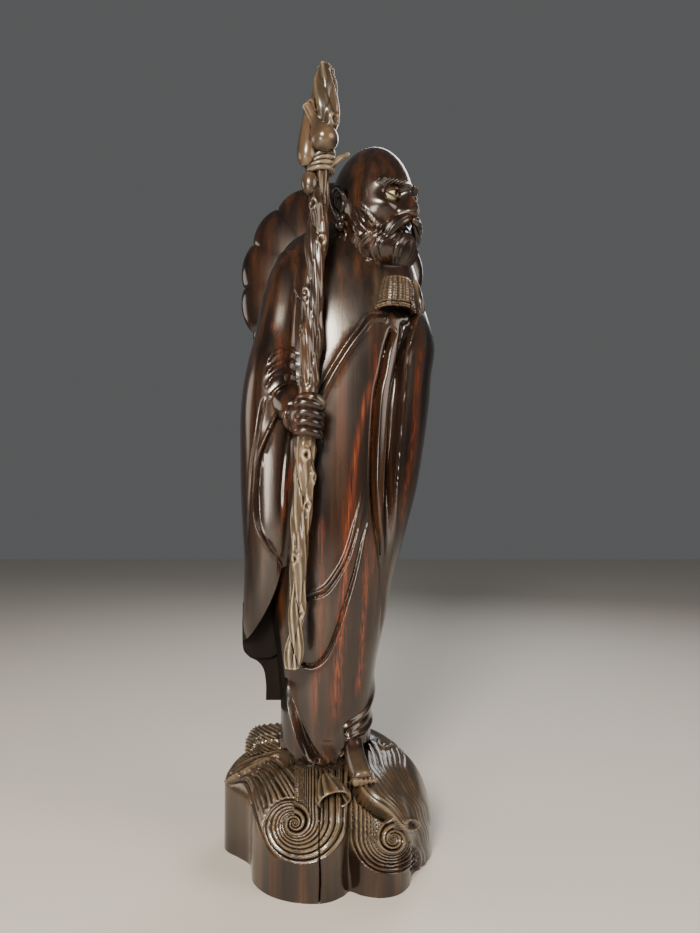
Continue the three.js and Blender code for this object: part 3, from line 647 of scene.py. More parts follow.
# Fist round the staff
fist = {
    "place": (-9.5, -72, 370),
    "fingerDrop": 7.3,
    "fingerRadius": 4.1,
    "grip": 8.4,
    "thumb": [(-9, 5, 12), (-4, -7, 15), (3, -11.6, 15), (9, -9.5, 11.5), (11.2, -6, 7)],
    "thumbRadii": [5, 4.9, 4.4, 4.1, 3.6],
    "wrist": [(-17, 8, 2), (-10, 3, 1)],
}


def makeFist():
    x, y, z = fist["place"]
    palm = ball("palm", *about(fist["place"], [(-7.0, 0.5, -0.5)]), (10.5, 16.5, 16), 70, 50)
    parts = [ball("heel", *about(fist["place"], [(-1, 10, -1)]), (12, 9, 15), 50, 40)]
    reach = fist["grip"] + 3.2
    for finger in range(4):
        drop = z + 9.6 - finger * fist["fingerDrop"]
        size = fist["fingerRadius"] - 0.16 * abs(finger - 1)
        end = 9.5 - 0.5 * finger
        bend = [
            (x - 11, y - 8.5, drop * 0.94 + z * 0.06 + 0.6), (x - 6.5, y - 13, drop + 0.9),
            (x - 1.5, y - reach - 2.8, drop + 0.7), (x + 4.5, y - reach - 0.6, drop - 0.5),
            (x + end, y - 7, drop - 1.8), (x + end + 0.4, y - 0.5, drop - 2.6),
        ]
        radii = [size * share for share in (0.8, 1.1, 1, 1.06, 0.94, 0.7)]
        parts.append(limb("finger", bend, radii, 26, 90))
    parts.append(limb("thumb", about(fist["place"], fist["thumb"]), fist["thumbRadii"], 26, 70))
    parts.append(limb("wrist", about(fist["place"], fist["wrist"]), [12, 11.5], 40, 30))
    return combine(palm, parts)


# Woven bell that gathers the cloak at the left shoulder
clasp = {
    "place": (61.5, -43, 477),
    "turn": (-6, 4, 8),
    "top": 11,
    "rim": 16.5,
    "height": 29,
    "flap": [(15, -4, 14), (18, -6, 4), (20, -7, -6), (23, -6, -15)],
    "flapRadii": [2.0, 2.4, 2.6, 2.0],
}


def makeClasp():
    top, rim, tall = clasp["top"], clasp["rim"], clasp["height"]
    profile = [
        (0, tall / 2 - 1), (top * 0.7, tall / 2), (top + 0.6, tall / 2 - 1.2), (top + 2.6, tall * 0.3),
        (top + 4.4, 0), (rim - 0.8, -tall * 0.28), (rim - 0.2, -tall * 0.34), (rim, -tall * 0.42),
        (rim + 0.4, -tall / 2), (rim - 3, -tall / 2), (rim - 4.5, -tall * 0.38), (rim - 6, -tall * 0.1),
        (0, -tall * 0.05),
    ]

    def weave(bearing, z):
        reeds = 1 + 0.022 * np.cos(22 * bearing) + 0.016 * np.cos(2 * math.pi * z / 2.4)
        slit = 0.09 * np.exp(-((np.sin((bearing + 0.06) / 2) / 0.03) ** 2))
        split = 1 - slit * smoothStep(tall * 0.46, tall * 0.4, z)
        band = 1 + 0.05 * bell(z, -tall * 0.31, 0.8) + 0.05 * bell(z, -tall * 0.42, 0.8)
        band -= 0.05 * bell(z, -tall * 0.365, 0.7)
        return reeds * split * band
    cup = turned("clasp", profile, 160, 150, weave)
    flap = limb("claspFlap", clasp["flap"], clasp["flapRadii"], 20, 60)
    return placed(combine(cup, [flap]), clasp["turn"], clasp["place"])


# Left foot, toes to the viewer's right
foot = {
    "bar": [(25, -30, 106), (26, -36, 97), (29, -46, 88), (32, -54, 82), (33.5, -58, 80)],
    "radii": [8, 8.4, 8.6, 8.2, 6.5],
    "flat": 0.82,
    "firstToe": (27.5, -59, 80),
    "toeStep": (3.6, 1.3, -0.2),
}


def makeFoot():
    whole = limb("foot", foot["bar"], foot["radii"], 50, 80, foot["flat"])
    parts = []
    for toe in range(5):
        size = 3.3 - 0.3 * toe
        spot = [start + toe * step for start, step in zip(foot["firstToe"], foot["toeStep"])]
        points = about(spot, [(-1, 6, 2.4), (0, 0, 0.6), (0.8, -4.5, -0.6)])
        parts.append(limb("toe", points, [size, size * 0.95, size], 22, 30))
    return combine(whole, parts)


# A pleated spout below the hem, open at its end
horn = {
    "place": (6, -59, 77),
    "turn": (-66, 0, 20),
    "flat": 0.72,
    "pleats": 5.5,
    "profile": [
        (0, 9), (4.5, 9), (7, 5), (9.6, -1), (12.0, -9), (13.4, -15),
        (13.6, -16.6), (12.4, -17.2), (11.0, -15), (9.6, -8), (6, -3), (0, -2),
    ],
}


def makeHorn():
    def ribs(bearing, z):
        return 1 + 0.16 * (np.abs(np.cos(horn["pleats"] * bearing)) - 0.4) * smoothStep(-17.2, -14, z)
    spout = turned("horn", horn["profile"], 150, 110, ribs)
    places = readPlaces(spout.data) * (1.0, horn["flat"], 1.0)
    spout.data.vertices.foreach_set("co", places.ravel())
    return placed(spout, horn["turn"], horn["place"])


# Wave base: the log's foot, rolled over into waves that climb to the robe
waves = {
    "wallShare": 0.36,
    "innerRadius": 30,
    "arcRadius": 88,  # turns a bearing into a run round the base
    "climb": 110,  # length from the underside to the robe
    "plane": -80,  # the upright plane in Y on which the front is drawn
    "frontEnds": (92, 104),  # degrees round, where the front's carving fades and where it stops
    "sole": 0.03,  # share of the run that closes the underside, and the share that closes the top
    "lid": 0.02,
    "lidHeight": 86,
    "foot": [
        [-180, 84], [-150, 83], [-120, 87], [-102, 89], [-88, 86], [-76, 74], [-65, 68], [-55, 71],
        [-42, 80], [-25, 87], [-8, 89], [4, 87], [13, 80], [18, 75], [23, 84], [30, 93], [38, 97],
        [48, 94], [57, 87], [64, 87], [78, 89], [92, 90], [105, 92], [125, 87], [150, 83], [180, 84],
    ],
    "wall": [
        [-180, 50], [-120, 55], [-95, 56], [-78, 50], [-60, 42], [-40, 36], [0, 36], [20, 36],
        [40, 30], [60, 24], [90, 24], [120, 40], [180, 50],
    ],
    "top": [
        [-180, 92], [-140, 92], [-110, 84], [-85, 72], [-60, 76], [-30, 82], [0, 80], [25, 80],
        [45, 82], [70, 84], [100, 90], [140, 96], [180, 92],
    ],
}
# middle, reach on the open side, shrink in one turn, lines, side that the water comes down on, its edge in X
volutes = [
    {"middle": (-19.7, 56.2), "reach": 41, "shrink": 0.29, "lines": 7, "hand": 1, "edge": 22.5},
    {"middle": (56.7, 43.9), "reach": 33.5, "shrink": 0.38, "lines": 7, "hand": -1, "edge": 23.5},
]
# lines on the wave front, as X and Z on an upright plane in front of the base
lipGuides = [
    [(-72.2, 86.7), (-59.8, 89.1), (-54.2, 82), (-50.1, 67.9), (-46, 53.9), (-41.2, 42.2)],
    [(-62, 92), (-53, 93), (-46.2, 86), (-42.5, 76), (-41, 66)],
    [(-49, 99), (-41, 97), (-35.6, 89), (-30, 80), (-27, 75)],
    [(-39, 105), (-31.5, 100), (-24.6, 91.5), (-18.5, 82.5), (-14.5, 74)],
    [(-32.7, 109), (-24.6, 101), (-15.6, 90), (-10, 79), (-7.2, 68), (-8, 60)],
    [(-27.9, 108), (-18.3, 98), (-9.4, 86), (-5, 75.8), (-3.4, 66.4), (-4.6, 58.5)],
    [(-19.9, 102.5), (-11.9, 95.4), (-5, 85.2), (-1.6, 74.2), (-0.6, 64)],
]
logGuides = [
    [(26, 95), (32, 83), (42, 73), (52, 66), (61, 58), (70.5, 44), (74.5, 32), (75, 20)],
    [(36, 116), (44, 100), (54, 84), (63, 69), (70.5, 56), (76, 42), (78, 26)],
    [(56, 122), (62, 103), (66, 88), (73, 75), (79, 63), (82.5, 50), (84, 36)],
]
waveGuides = {
    "crest": [(-72.5, 86.5), (-55.8, 95.4), (-41.5, 103.2), (-31, 110)],
    "stripsLow": [(-72.5, 88.5), (-54, 99), (-31.5, 112.5)],
    "stripsHigh": [(-71.5, 92), (-54, 103), (-31, 119)],
    "gap": [(23.5, 89), (28.6, 77.8), (37.4, 68.4), (47.8, 61.2), (56, 56.6)],
    "logEdge": [
        (72.2, 14), (73, 30.8), (69.3, 40.9), (59, 56), (50.1, 64), (39.7, 71), (30, 80.4), (24.6, 93),
    ],
    "valley": [(23, 96), (23, 77.4), (22.4, 58.5), (21.9, 36), (20, 3)],
}
logKnots = [(48.1, 114, 4.6), (67.1, 54.5, 4.4)]
backFlows = [  # guides in run and climb round the sides and back, lines between them, height and width
    ([(-150, 108), (-140, 84), (-136, 62)], [(-196, 106), (-184, 84), (-174, 62)], 8, 1.5, 1.5),
    ([(142, 106), (160, 92), (176, 84), (196, 84)], [(150, 50), (158, 48), (166, 44),
        (176, 40)], 7, 1.5, 1.5),
    ([(-262, 108), (-245, 100), (-225, 96), (-204, 100)], [(-262, 66), (-240, 58), (-215, 56),
        (-190, 62)], 7, 1.5, 1.5),
]
backVolute = {"middle": (238, 62), "reach": 34, "shrink": 0.35, "lines": 7, "hand": 1, "edge": 266}
crack = {"place": -0.4, "width": 0.45, "depth": 3.0, "top": 74}


def frontPlane(x, y, z):
    # where the camera would see a place on an upright plane at the front of the base
    cx, cy, cz = cameraValues["place"]
    near = (waves["plane"] - cy) / (y - cy)
    return cx + (x - cx) * near, cz + (z - cz) * near


def blendLines(first, last, count):
    # lines that pass smoothly from one guide to another
    spots = np.linspace(0, 1, 12)
    even = []
    for guide in (smoothLine(first, 3), smoothLine(last, 3)):
        run = np.linspace(0, 1, len(guide))
        even.append(np.column_stack([np.interp(spots, run, guide[:, i]) for i in (0, 1)]))
    return [even[0] * (1 - f) + even[1] * f for f in np.linspace(0, 1, count)]


def voluteRelief(x, z, look):
    # bands that come down on one side and roll inwards; gives the height and where it holds
    dx, dz = (x - look["middle"][0]) * look["hand"], z - look["middle"][1]
    away, turn = np.hypot(dx, dz) + 1e-3, np.degrees(np.arctan2(-dz, dx))
    turn = np.where(turn < -90, turn + 360, turn)
    rim = look["reach"] * look["shrink"] ** (turn / 360)
    secondRim = rim * look["shrink"]
    falling = (turn < 0) & (away > secondRim)
    ring, spot = np.where(falling, np.maximum(dx, 0.5), away), np.where(falling, 0, turn)
    phase = look["lines"] * (spot / 360 + np.log(ring / look["reach"]) / math.log(1 / look["shrink"]))
    size = np.clip(ring * 0.05, 0.35, 1.5)
    # the heart of the roll has two broad lines where the rest has many
    heart = smoothStep(1.25, 0.9, away / secondRim) * (1 - falling)
    bands = (1 - heart) * size * (2.1 * np.abs(np.cos(math.pi * phase)) ** 0.6 - 1.3)
    bands += (1 - heart) * 0.17 * size * np.cos(6 * math.pi * phase) * smoothStep(6, 14, ring)
    swirl = 2.0 * np.abs(np.cos(math.pi * phase * 2 / look["lines"])) ** 0.7 - 1.3
    bands += heart * np.clip(away * 0.3, 0.3, 2.2) * swirl
    limit = np.where(falling, look["reach"], rim)
    soft = 0.6 * look["hand"]
    held = smoothStep(0.6, -0.6, ring - limit) * smoothStep(look["edge"] + soft, look["edge"] - soft, x)
    overlap = smoothStep(100, 150, turn)
    edge = away - rim
    lip = 1.5 * smoothStep(0.8, -0.8, edge) * smoothStep(-9, -3, edge) - 2.0 * bell(edge, 1.4, 1.1)
    lift = held * bands + overlap * lip - 1.4 * bell(away, 0, 3.0)
    return lift, np.maximum(held, overlap * bell(edge, 1.4, 1.6))


def strokesBetween(guides, count, amount, width, ends):
    # grooves along the guides, with finer ones between them
    found = []
    for first, last in zip(guides, guides[1:]):
        for k, line in enumerate(blendLines(first, last, count + 1)[:-1]):
            deep = amount if k == 0 else 0.42 * amount
            found.append(("groove", deep, width if k == 0 else 0.5 * width, 0, ends, line))
    return found + [("groove", amount, width, 0, ends, guides[-1])]


def frontRelief(px, pz):
    lift = np.zeros(px.shape)
    held = np.zeros(px.shape)
    for look in volutes:
        high, mask = voluteRelief(px, pz, look)
        lift += high
        held = np.maximum(held, mask)
    side = nearLine(px, pz, waveGuides["logEdge"])[0]
    onLog = smoothStep(-1.2, 1.2, -side) * smoothStep(20, 26, px)
    lift *= 1 - onLog
    free = (1 - held) * (1 - onLog)
    lift += carve(px, pz, strokesBetween(lipGuides, 3, 2.4, 1.5, (0.04, 0.06))) * free
    lift += carve(px, pz, [
        ("lap", 2.6, 0.9, 16, (0.02, 0.15), lipGuides[0]),
        ("ridge", 2.6, 1.3, 0, (0.02, 0.05), waveGuides["crest"]),
        ("groove", 3.0, 2.2, 0, (0.05, 0.35), waveGuides["valley"]),
    ])
    strips = [waveGuides["stripsLow"], waveGuides["stripsHigh"]]
    lift += carve(px, pz, strokesBetween(strips, 3, 1.7, 0.8, (0.04, 0.04)))
    lift += onLog * (4.2 - 1.2 * np.exp(-np.abs(side) / 1.6))
    bark = strokesBetween(logGuides, 5, 1.3, 0.9, (0.03, 0.03))
    lift += carve(px + 0.9 * np.sin(pz / 6.5) + 0.5 * np.sin(pz / 2.9), pz, bark) * onLog
    for kx, kz, size in logKnots:
        away = np.hypot(px - kx, (pz - kz) * 1.15)
        lift += 1.6 * bell(away, size, 1.3) - 2.6 * bell(away, 0, 2.4)
    lift += carve(px, pz, [("groove", 8.0, 2.6, 0, (0.02, 0.12), waveGuides["gap"])])
    split = np.exp(-(((px - crack["place"] - 0.5 * np.sin(pz / 9)) / crack["width"]) ** 2))
    lift -= crack["depth"] * split * smoothStep(crack["top"], crack["top"] - 10, pz)
    return lift


def sideRelief(bearing, t):
    run, climb = bearing * waves["arcRadius"], t * waves["climb"]
    lift, held = voluteRelief(run, climb, backVolute)
    for first, last, count, amount, width in backFlows:
        lines = blendLines(first, last, count)
        strokes = [("groove", amount, width, 0, (0.1, 0.1), line) for line in lines]
        lift += carve(run, climb, strokes) * (1 - held)
    return lift


def baseSkin(bearing, t):
    degrees = np.degrees(bearing)
    foot = smoothRows(waves["foot"], degrees)[:, 0]
    top = smoothRows(waves["top"], degrees)[:, 0]
    wall = smoothRows(waves["wall"], degrees)[:, 0]
    share = waves["wallShare"]
    over = np.clip((t - share) / (1 - share), 0, 1) * math.pi / 2
    inner = waves["innerRadius"]
    radius = np.where(t < share, foot, inner + (foot - inner) * np.cos(over) ** 0.75)
    z = np.where(t < share, t / share * wall, wall + (top - wall) * np.sin(over) ** 1.1)
    return radius, z, over


def makeBase():
    fades, stops = [math.radians(v) for v in waves["frontEnds"]]

    def place(bearing, t):
        rise = np.clip((t - waves["sole"]) / 0.95, 0, 1)
        radius, z, over = baseSkin(bearing, rise)
        px, pz = frontPlane(radius * np.sin(bearing), -radius * np.cos(bearing), z)
        ahead = np.abs(bearing) < stops
        lift = np.zeros(radius.shape)
        held = smoothStep(stops, fades, np.abs(bearing[ahead]))
        lift[ahead] = frontRelief(px[ahead], pz[ahead]) * held
        lift += sideRelief(bearing, rise)
        lift *= smoothStep(0.0, 0.03, rise) * smoothStep(1.0, 0.96, rise)
        radius = radius + lift * np.cos(over * 0.85)
        z = z + lift * np.sin(over * 0.85)
        radius = np.where(t < waves["sole"], radius * np.clip(t / waves["sole"], 0, 1), radius)
        close = np.clip((t - 0.98) / waves["lid"], 0, 1)
        radius, z = radius * (1 - close), z + (waves["lidHeight"] - z) * close
        return radius * np.sin(bearing), -radius * np.cos(bearing), z
    return combine(wrapped("base", 640, 300, place, 0.5), [makeBlock()])


# A rough crest at the back left of the base, cut with short strokes
block = {"middle": (-48, 34, 72), "halves": (25, 22, 21), "power": 5}


def makeBlock():
    def place(bearing, t):
        up, _, side, ahead = globe(bearing, t)
        power = block["power"]
        size = (np.abs(side) ** power + np.abs(ahead) ** power + np.abs(up) ** power) ** (-1 / power)
        (midX, midY, midZ), (wide, deep, tall) = block["middle"], block["halves"]
        x, y, z = midX + wide * size * side, midY - deep * size * ahead, midZ + tall * size * up + 3 * side
        px, pz = frontPlane(x, y, z)
        strokes = 0.9 * np.cos(2 * math.pi * (px * 0.20 + pz * 0.34) + 1.2 * np.sin(px / 4))
        cut = strokes * smoothStep(96, 104, pz)
        band = 1.6 * bell(pz - 119.5 - 0.12 * (px + 55), 0, 1.2)
        cut += band * smoothStep(-62, -58, px) * smoothStep(-44, -48, px)
        return x + 0.6 * cut * side, y - cut * ahead, z + cut * up
    return wrapped("block", 150, 110, place)


# Staff with gourds, cord and a dark knot of wood
staff = {
    "foot": (-21.6, -72, 172),
    "top": (3.2, -72, 660),
    "radius": 8.0,
    "grip": (352, 392),
    "roundGourd": [
        (0, 0), (4.5, 0.4), (10, 5), (11.6, 11), (9.8, 17),
        (6.2, 23), (4.6, 29), (4.0, 36), (3.4, 42), (0, 43),
    ],
    "longGourd": [(0, 0), (4, 0.6), (7.6, 6), (8.6, 15), (7.6, 27), (6.2, 38), (5.4, 47), (4.0, 53), (0, 56)],
    "cordLow": 570,
    "cordStep": 3.8,
    "cordReach": 10.2,
    "cordRadius": 2.1,
}
staffKnots = [  # height and bearing of the eye-like knots
    (214, 0.9), (258, -0.5), (300, 0.7), (322, 1.2), (340, 0.2), (440, -1.1), (470, -1.0), (512, 0.6),
    (541, -0.4), (610, 0.9), (236, 2.6), (410, 2.4), (500, -2.4), (560, 2.8),
]


def staffAxis(z):
    share = (z - staff["foot"][2]) / (staff["top"][2] - staff["foot"][2])
    return [staff["foot"][i] + share * (staff["top"][i] - staff["foot"][i]) for i in (0, 1)]


def makeStaff():
    start, stop = staff["foot"][2], staff["top"][2] - 2

    def place(bearing, t):
        z = start + (stop - start) * t
        x, y = staffAxis(z)
        swell = 0.5 * np.sin(z / 13) + 0.4 * np.sin(z / 5.7 + 1)
        slope = bearing + z / 17 + 0.9 * np.sin(z / 29)
        twist = 3.0 * np.abs(np.cos(slope)) ** 0.8 + 1.8 * np.abs(np.cos(1.5 * bearing - z / 33 + 1))
        twist += 0.4 * np.cos(9 * bearing + z / 6)
        club = 4.6 * bell(z, 625, 22) - 2.2 * smoothStep(642, 657, z)
        craggy = 1.8 * smoothStep(594, 620, z) * (np.abs(np.cos(2.5 * bearing + z / 9)) - 0.5)
        knots = np.zeros(z.shape)
        for height, way in staffKnots:
            aside = (np.angle(np.exp(1j * (bearing - way))) * staff["radius"]) ** 2
            away = np.sqrt(aside + ((z - height) * 0.72) ** 2)
            knots += 1.2 * bell(away, 2.8, 1.8) - 3.0 * bell(away, 0, 1.3)
        # the stick stays plain inside the fist
        low, high = staff["grip"]
        free = 1 - smoothStep(low - 8, low, z) * (1 - smoothStep(high, high + 8, z))
        thin = 2.6 * smoothStep(350, 172, z)
        radius = (staff["radius"] + free * (swell + club + craggy + twist - 3.3 + knots - thin)) * inside(t)
        return x + radius * np.sin(bearing), y - radius * np.cos(bearing), z
    stick = wrapped("stick", 110, 900, place)
    parts = [
        placed(turned("gourdRound", staff["roundGourd"], 60, 80), (0, -27, 0), (7, -82, 583)),
        placed(turned("gourdLong", staff["longGourd"], 56, 90), (0, 4, 0), (-12, -78, 572)),
    ]
    reach = staff["cordReach"]
    for wrap in range(4):
        height = staff["cordLow"] + wrap * staff["cordStep"]
        x, y = staffAxis(height)
        loop = [
            (x + reach * math.sin(a), y + reach * math.cos(a), height + (1 + wrap) * math.sin(a))
            for a in np.linspace(0, 2 * math.pi, 17)
        ]
        parts.append(limb("cord", loop, [staff["cordRadius"]] * 17, 16, 96))
    parts.append(limb("cordTail", [(6, -76, 572), (14, -74, 580), (22, -68, 587)], [2.8, 2.6, 2.0], 16, 40))
    parts.append(ball("darkKnot", (-9.5, -76, 560), (7, 6, 10), 40, 30))
    return combine(stick, parts)


print("camera")
makeCamera()
print("base")
monk = makeBase()
print("hat, head and neck")
combine(monk, [makeHat(), makeNeck(), makeHead()])
print("robe and sleeve")
combine(monk, [makeRobe(), makeSleeve()])
print("fist, clasp, foot and horn")
combine(monk, [makeClasp(), makeFoot(), makeHorn(), makeFist()])
print("staff")
stick = makeStaff()
print("done", len(monk.data.polygons), len(stick.data.polygons))


# Eyes painted ivory with a dark pupil; red streaks, wear with painted sheen, painted glare on the staff and
# painted shade in hollows are written on the points of the mesh
def eyeFaces(mesh):
    middles = np.empty(len(mesh.polygons) * 3)
    mesh.polygons.foreach_get("center", middles)
    middles = middles.reshape(-1, 3) / mm
    kinds = np.zeros(len(middles), int)
    c, s = math.cos(math.radians(head["yaw"])), math.sin(math.radians(head["yaw"]))
    wide, deep, tall = eye["halves"]
    for side in (-1, 1):
        x, y, z = eyePlace(side)
        dx, dy, dz = (middles - head["place"] - (c * x - s * y, s * x + c * y, z)).T
        lx, ly = dx * c + dy * s, dy * c - dx * s
        shell = np.sqrt((lx / wide) ** 2 + (ly / deep) ** 2 + (dz / tall) ** 2)
        onEye = (np.abs(shell - 1) < 0.05) & (ly < 0)
        kinds[onEye] = 1
        kinds[onEye & (np.hypot(lx + 0.4 * side, dz) < eye["pupil"])] = 2
    return kinds


streaks = [  # strength, width, points in X and Z on the front
    (1.0, 2.4, [(43, 410), (37.4, 392.7), (28.2, 346), (23.6, 309), (20.1, 269), (19.7, 230)]),
    (0.9, 2.6, [(20.6, 275), (16.9, 206), (15.4, 177), (12.6, 158), (8.5, 118)]),
    (0.8, 2.4, [(38.2, 280), (35.5, 224), (32.6, 175), (30.7, 156), (28, 135)]),
    (0.5, 6.0, [(24, 330), (20, 260), (14, 180), (9, 110)]),
    (0.6, 2.8, [(-0.8, 300), (-0.6, 236), (-1.7, 206), (-2, 177), (-5.4, 149), (-7, 112)]),
    (0.6, 2.6, [(-42.6, 454), (-37.6, 443), (-34.4, 431), (-34.8, 411)]),
    (0.5, 2.4, [(-23.8, 341), (-27.8, 317), (-32.6, 292), (-37.5, 272)]),
    (0.6, 3.0, [(84, 440), (80, 400), (76, 350), (70, 310), (64, 270)]),
    (0.6, 2.0, [(46, 440), (44, 400), (41, 360), (40, 330)]),
]
paintedShadePlaces = [  # middle and half sizes of recesses painted dark as shade
    ((-55, -8, 188), (26, 22, 66)), ((62, -46, 464), (12, 11, 6)),
]
palePlaces = [  # the same for rubbed, yellowish places
    ((61.5, -43, 479), (19, 18, 15)), ((-8, -78, 383), (12, 9, 4)),
    ((30, -56, 84), (16, 22, 12)), ((11, -64, 76), (16, 20, 12)),
]
shades = {
    "gain": 4,  # how fast a bend turns into wear with painted sheen, or into painted shade
    "flat": 0.03,  # bends below this show neither
    # strength of the painted shade in the listed recesses
    "recess": 0.95,
    "waveLine": (84, 112, 42, 1.6),  # height of the waves' upper edge: least, most, from this radius, slope
    "staffHeights": (400, 340, 545, 580),  # the lower staff is painted paler below these, its head above these, as painted glare
}


def within(places, middle, half):
    away = np.abs((places / mm - middle) / half).max(axis=1)
    return smoothStep(1.04, 0.94, away)


def writeShades(mesh, thin):
    # how sharply the skin bends out or in at each point, and what follows from it; thin is for the staff
    places = readPlaces(mesh)
    normals = np.empty(len(places) * 3)
    mesh.vertices.foreach_get("normal", normals)
    normals = normals.reshape(-1, 3)
    ends = np.empty(len(mesh.edges) * 2, int)
    mesh.edges.foreach_get("vertices", ends)
    ends = ends.reshape(-1, 2)
    a, b = ends.T
    gap = places[b] - places[a]
    length = np.linalg.norm(gap, axis=1) + 1e-9
    total, count = np.zeros(len(places)), np.zeros(len(places))
    for here, sign in ((a, -1), (b, 1)):
        np.add.at(total, here, sign * mm * np.einsum("ij,ij->i", gap, normals[here]) / length**2)
        np.add.at(count, here, 1)
    bend = total / np.maximum(count, 1)
    for _ in range(2):
        spread, shares = bend.copy(), np.ones(len(bend))
        for here, there in ((a, b), (b, a)):
            np.add.at(spread, here, bend[there])
            np.add.at(shares, here, 1)
        bend = spread / shares
    x, y, z = places.T / mm
    red = np.zeros(len(places))
    for strength, width, points in streaks:
        side, along = nearLine(x, z, points)
        taper = smoothStep(0, 0.1, along) * smoothStep(0, 0.12, 1 - along)
        red = np.maximum(red, strength * taper * np.exp(-((side / width) ** 2)) * (y < 0))
    least, most, radius, slope = shades["waveLine"]
    limit = np.clip(least + slope * (np.hypot(x, y) - radius), least, most)
    onWaves = smoothStep(3, -3, z - limit) * (not thin)
    # on the waves the bend counts more, so their crests get more of the pale colour, partly wear and partly
    # painted sheen
    bend = bend * (1 + 0.5 * onWaves)
    wearAndSheen = np.clip((bend - shades["flat"]) * shades["gain"], 0, 1)
    # painted shade: inward bends and the listed recesses get the darkest colour
    hollow = np.clip(-(bend + shades["flat"]) * shades["gain"], 0, 1)
    for middle, half in paintedShadePlaces:
        hollow = np.maximum(hollow, shades["recess"] * within(places, middle, half))
    if thin:
        lowest, low, high, highest = shades["staffHeights"]
        # painted glare: the staff's lower part, and its head half as much, are painted paler
        rubAndSheen = np.maximum(smoothStep(lowest, low, z), 0.5 * smoothStep(high, highest, z))
    else:
        # the wave carving is painted paler: partly wear, partly painted sheen
        rubAndSheen = onWaves * smoothStep(26, 40, z)
    for middle, half in palePlaces:
        rubAndSheen = np.maximum(rubAndSheen, within(places, middle, half) * (not thin))
    for name, values in (("wearAndSheen", wearAndSheen), ("hollow", hollow), ("red", red * (not thin)), ("rubAndSheen", rubAndSheen)):
        layer = mesh.attributes.new(name, "FLOAT", "POINT")
        layer.data.foreach_set("value", values)


def linear(code):
    # a hexadecimal screen colour as linear light
    parts = [int(code[i:i + 2], 16) / 255 for i in (1, 3, 5)]
    return [v / 12.92 if v <= 0.04045 else ((v + 0.055) / 1.055) ** 2.4 for v in parts] + [1.0]


def addNode(tree, kind, settings=(), links=()):
    # settings are attributes or socket values, links bring in outputs of earlier nodes
    node = tree.nodes.new(kind)
    for name, value in dict(settings).items():
        if isinstance(name, str) and hasattr(node, name):
            setattr(node, name, value)
        else:
            node.inputs[name].default_value = value
    for name, output in dict(links).items():
        tree.links.new(output, node.inputs[name])
    return node


def ramp(tree, value, stops):
    node = addNode(tree, "ShaderNodeValToRGB", {}, {"Fac": value})
    while len(node.color_ramp.elements) < len(stops):
        node.color_ramp.elements.new(0.5)
    for element, (spot, code) in zip(node.color_ramp.elements, stops):
        element.position = spot
        element.color = linear(code)
    return node.outputs["Color"]


def mixed(tree, factor, first, second):
    node = addNode(tree, "ShaderNodeMix", {"data_type": "RGBA"}, {0: factor, 6: first})
    if isinstance(second, str):
        node.inputs[7].default_value = linear(second)
    else:
        tree.links.new(second, node.inputs[7])
    return node.outputs[2]


ebony = {
    "dark": "#120b08", "mid": "#22150e", "brown": "#3a2415", "red": "#5c2a15", "orange": "#7d4422",
    # the pale colours stand partly for painted sheen and glare; the darkest colour is painted shade
    "wearAndSheen": "#5d4936", "rubAndSheen": "#7b6e58", "hollow": "#060403",
    "bands": 10.0, "lines": 1.3, "roughness": 0.2, "coat": 0.4,
    "redShare": 0.22, "wearAndSheenShare": 0.45, "rubAndSheenShare": 0.7, "rubAndSheenLeast": 0.16,
}
# a paler copy of the ebony for the staff, painted lighter to stand for glare
paintedGlareEbony = dict(
    ebony, dark="#1f1610", mid="#33241a", brown="#4c3826", rubAndSheen="#aa9c80", wearAndSheen="#9a8b76",
    redShare=0.1, wearAndSheenShare=0.7, rubAndSheenShare=0.9, rubAndSheenLeast=0.12,
)
paints = {"ivory": ("#cfc7a4", 0.35), "black": ("#0d0a08", 0.3)}  # colour and roughness


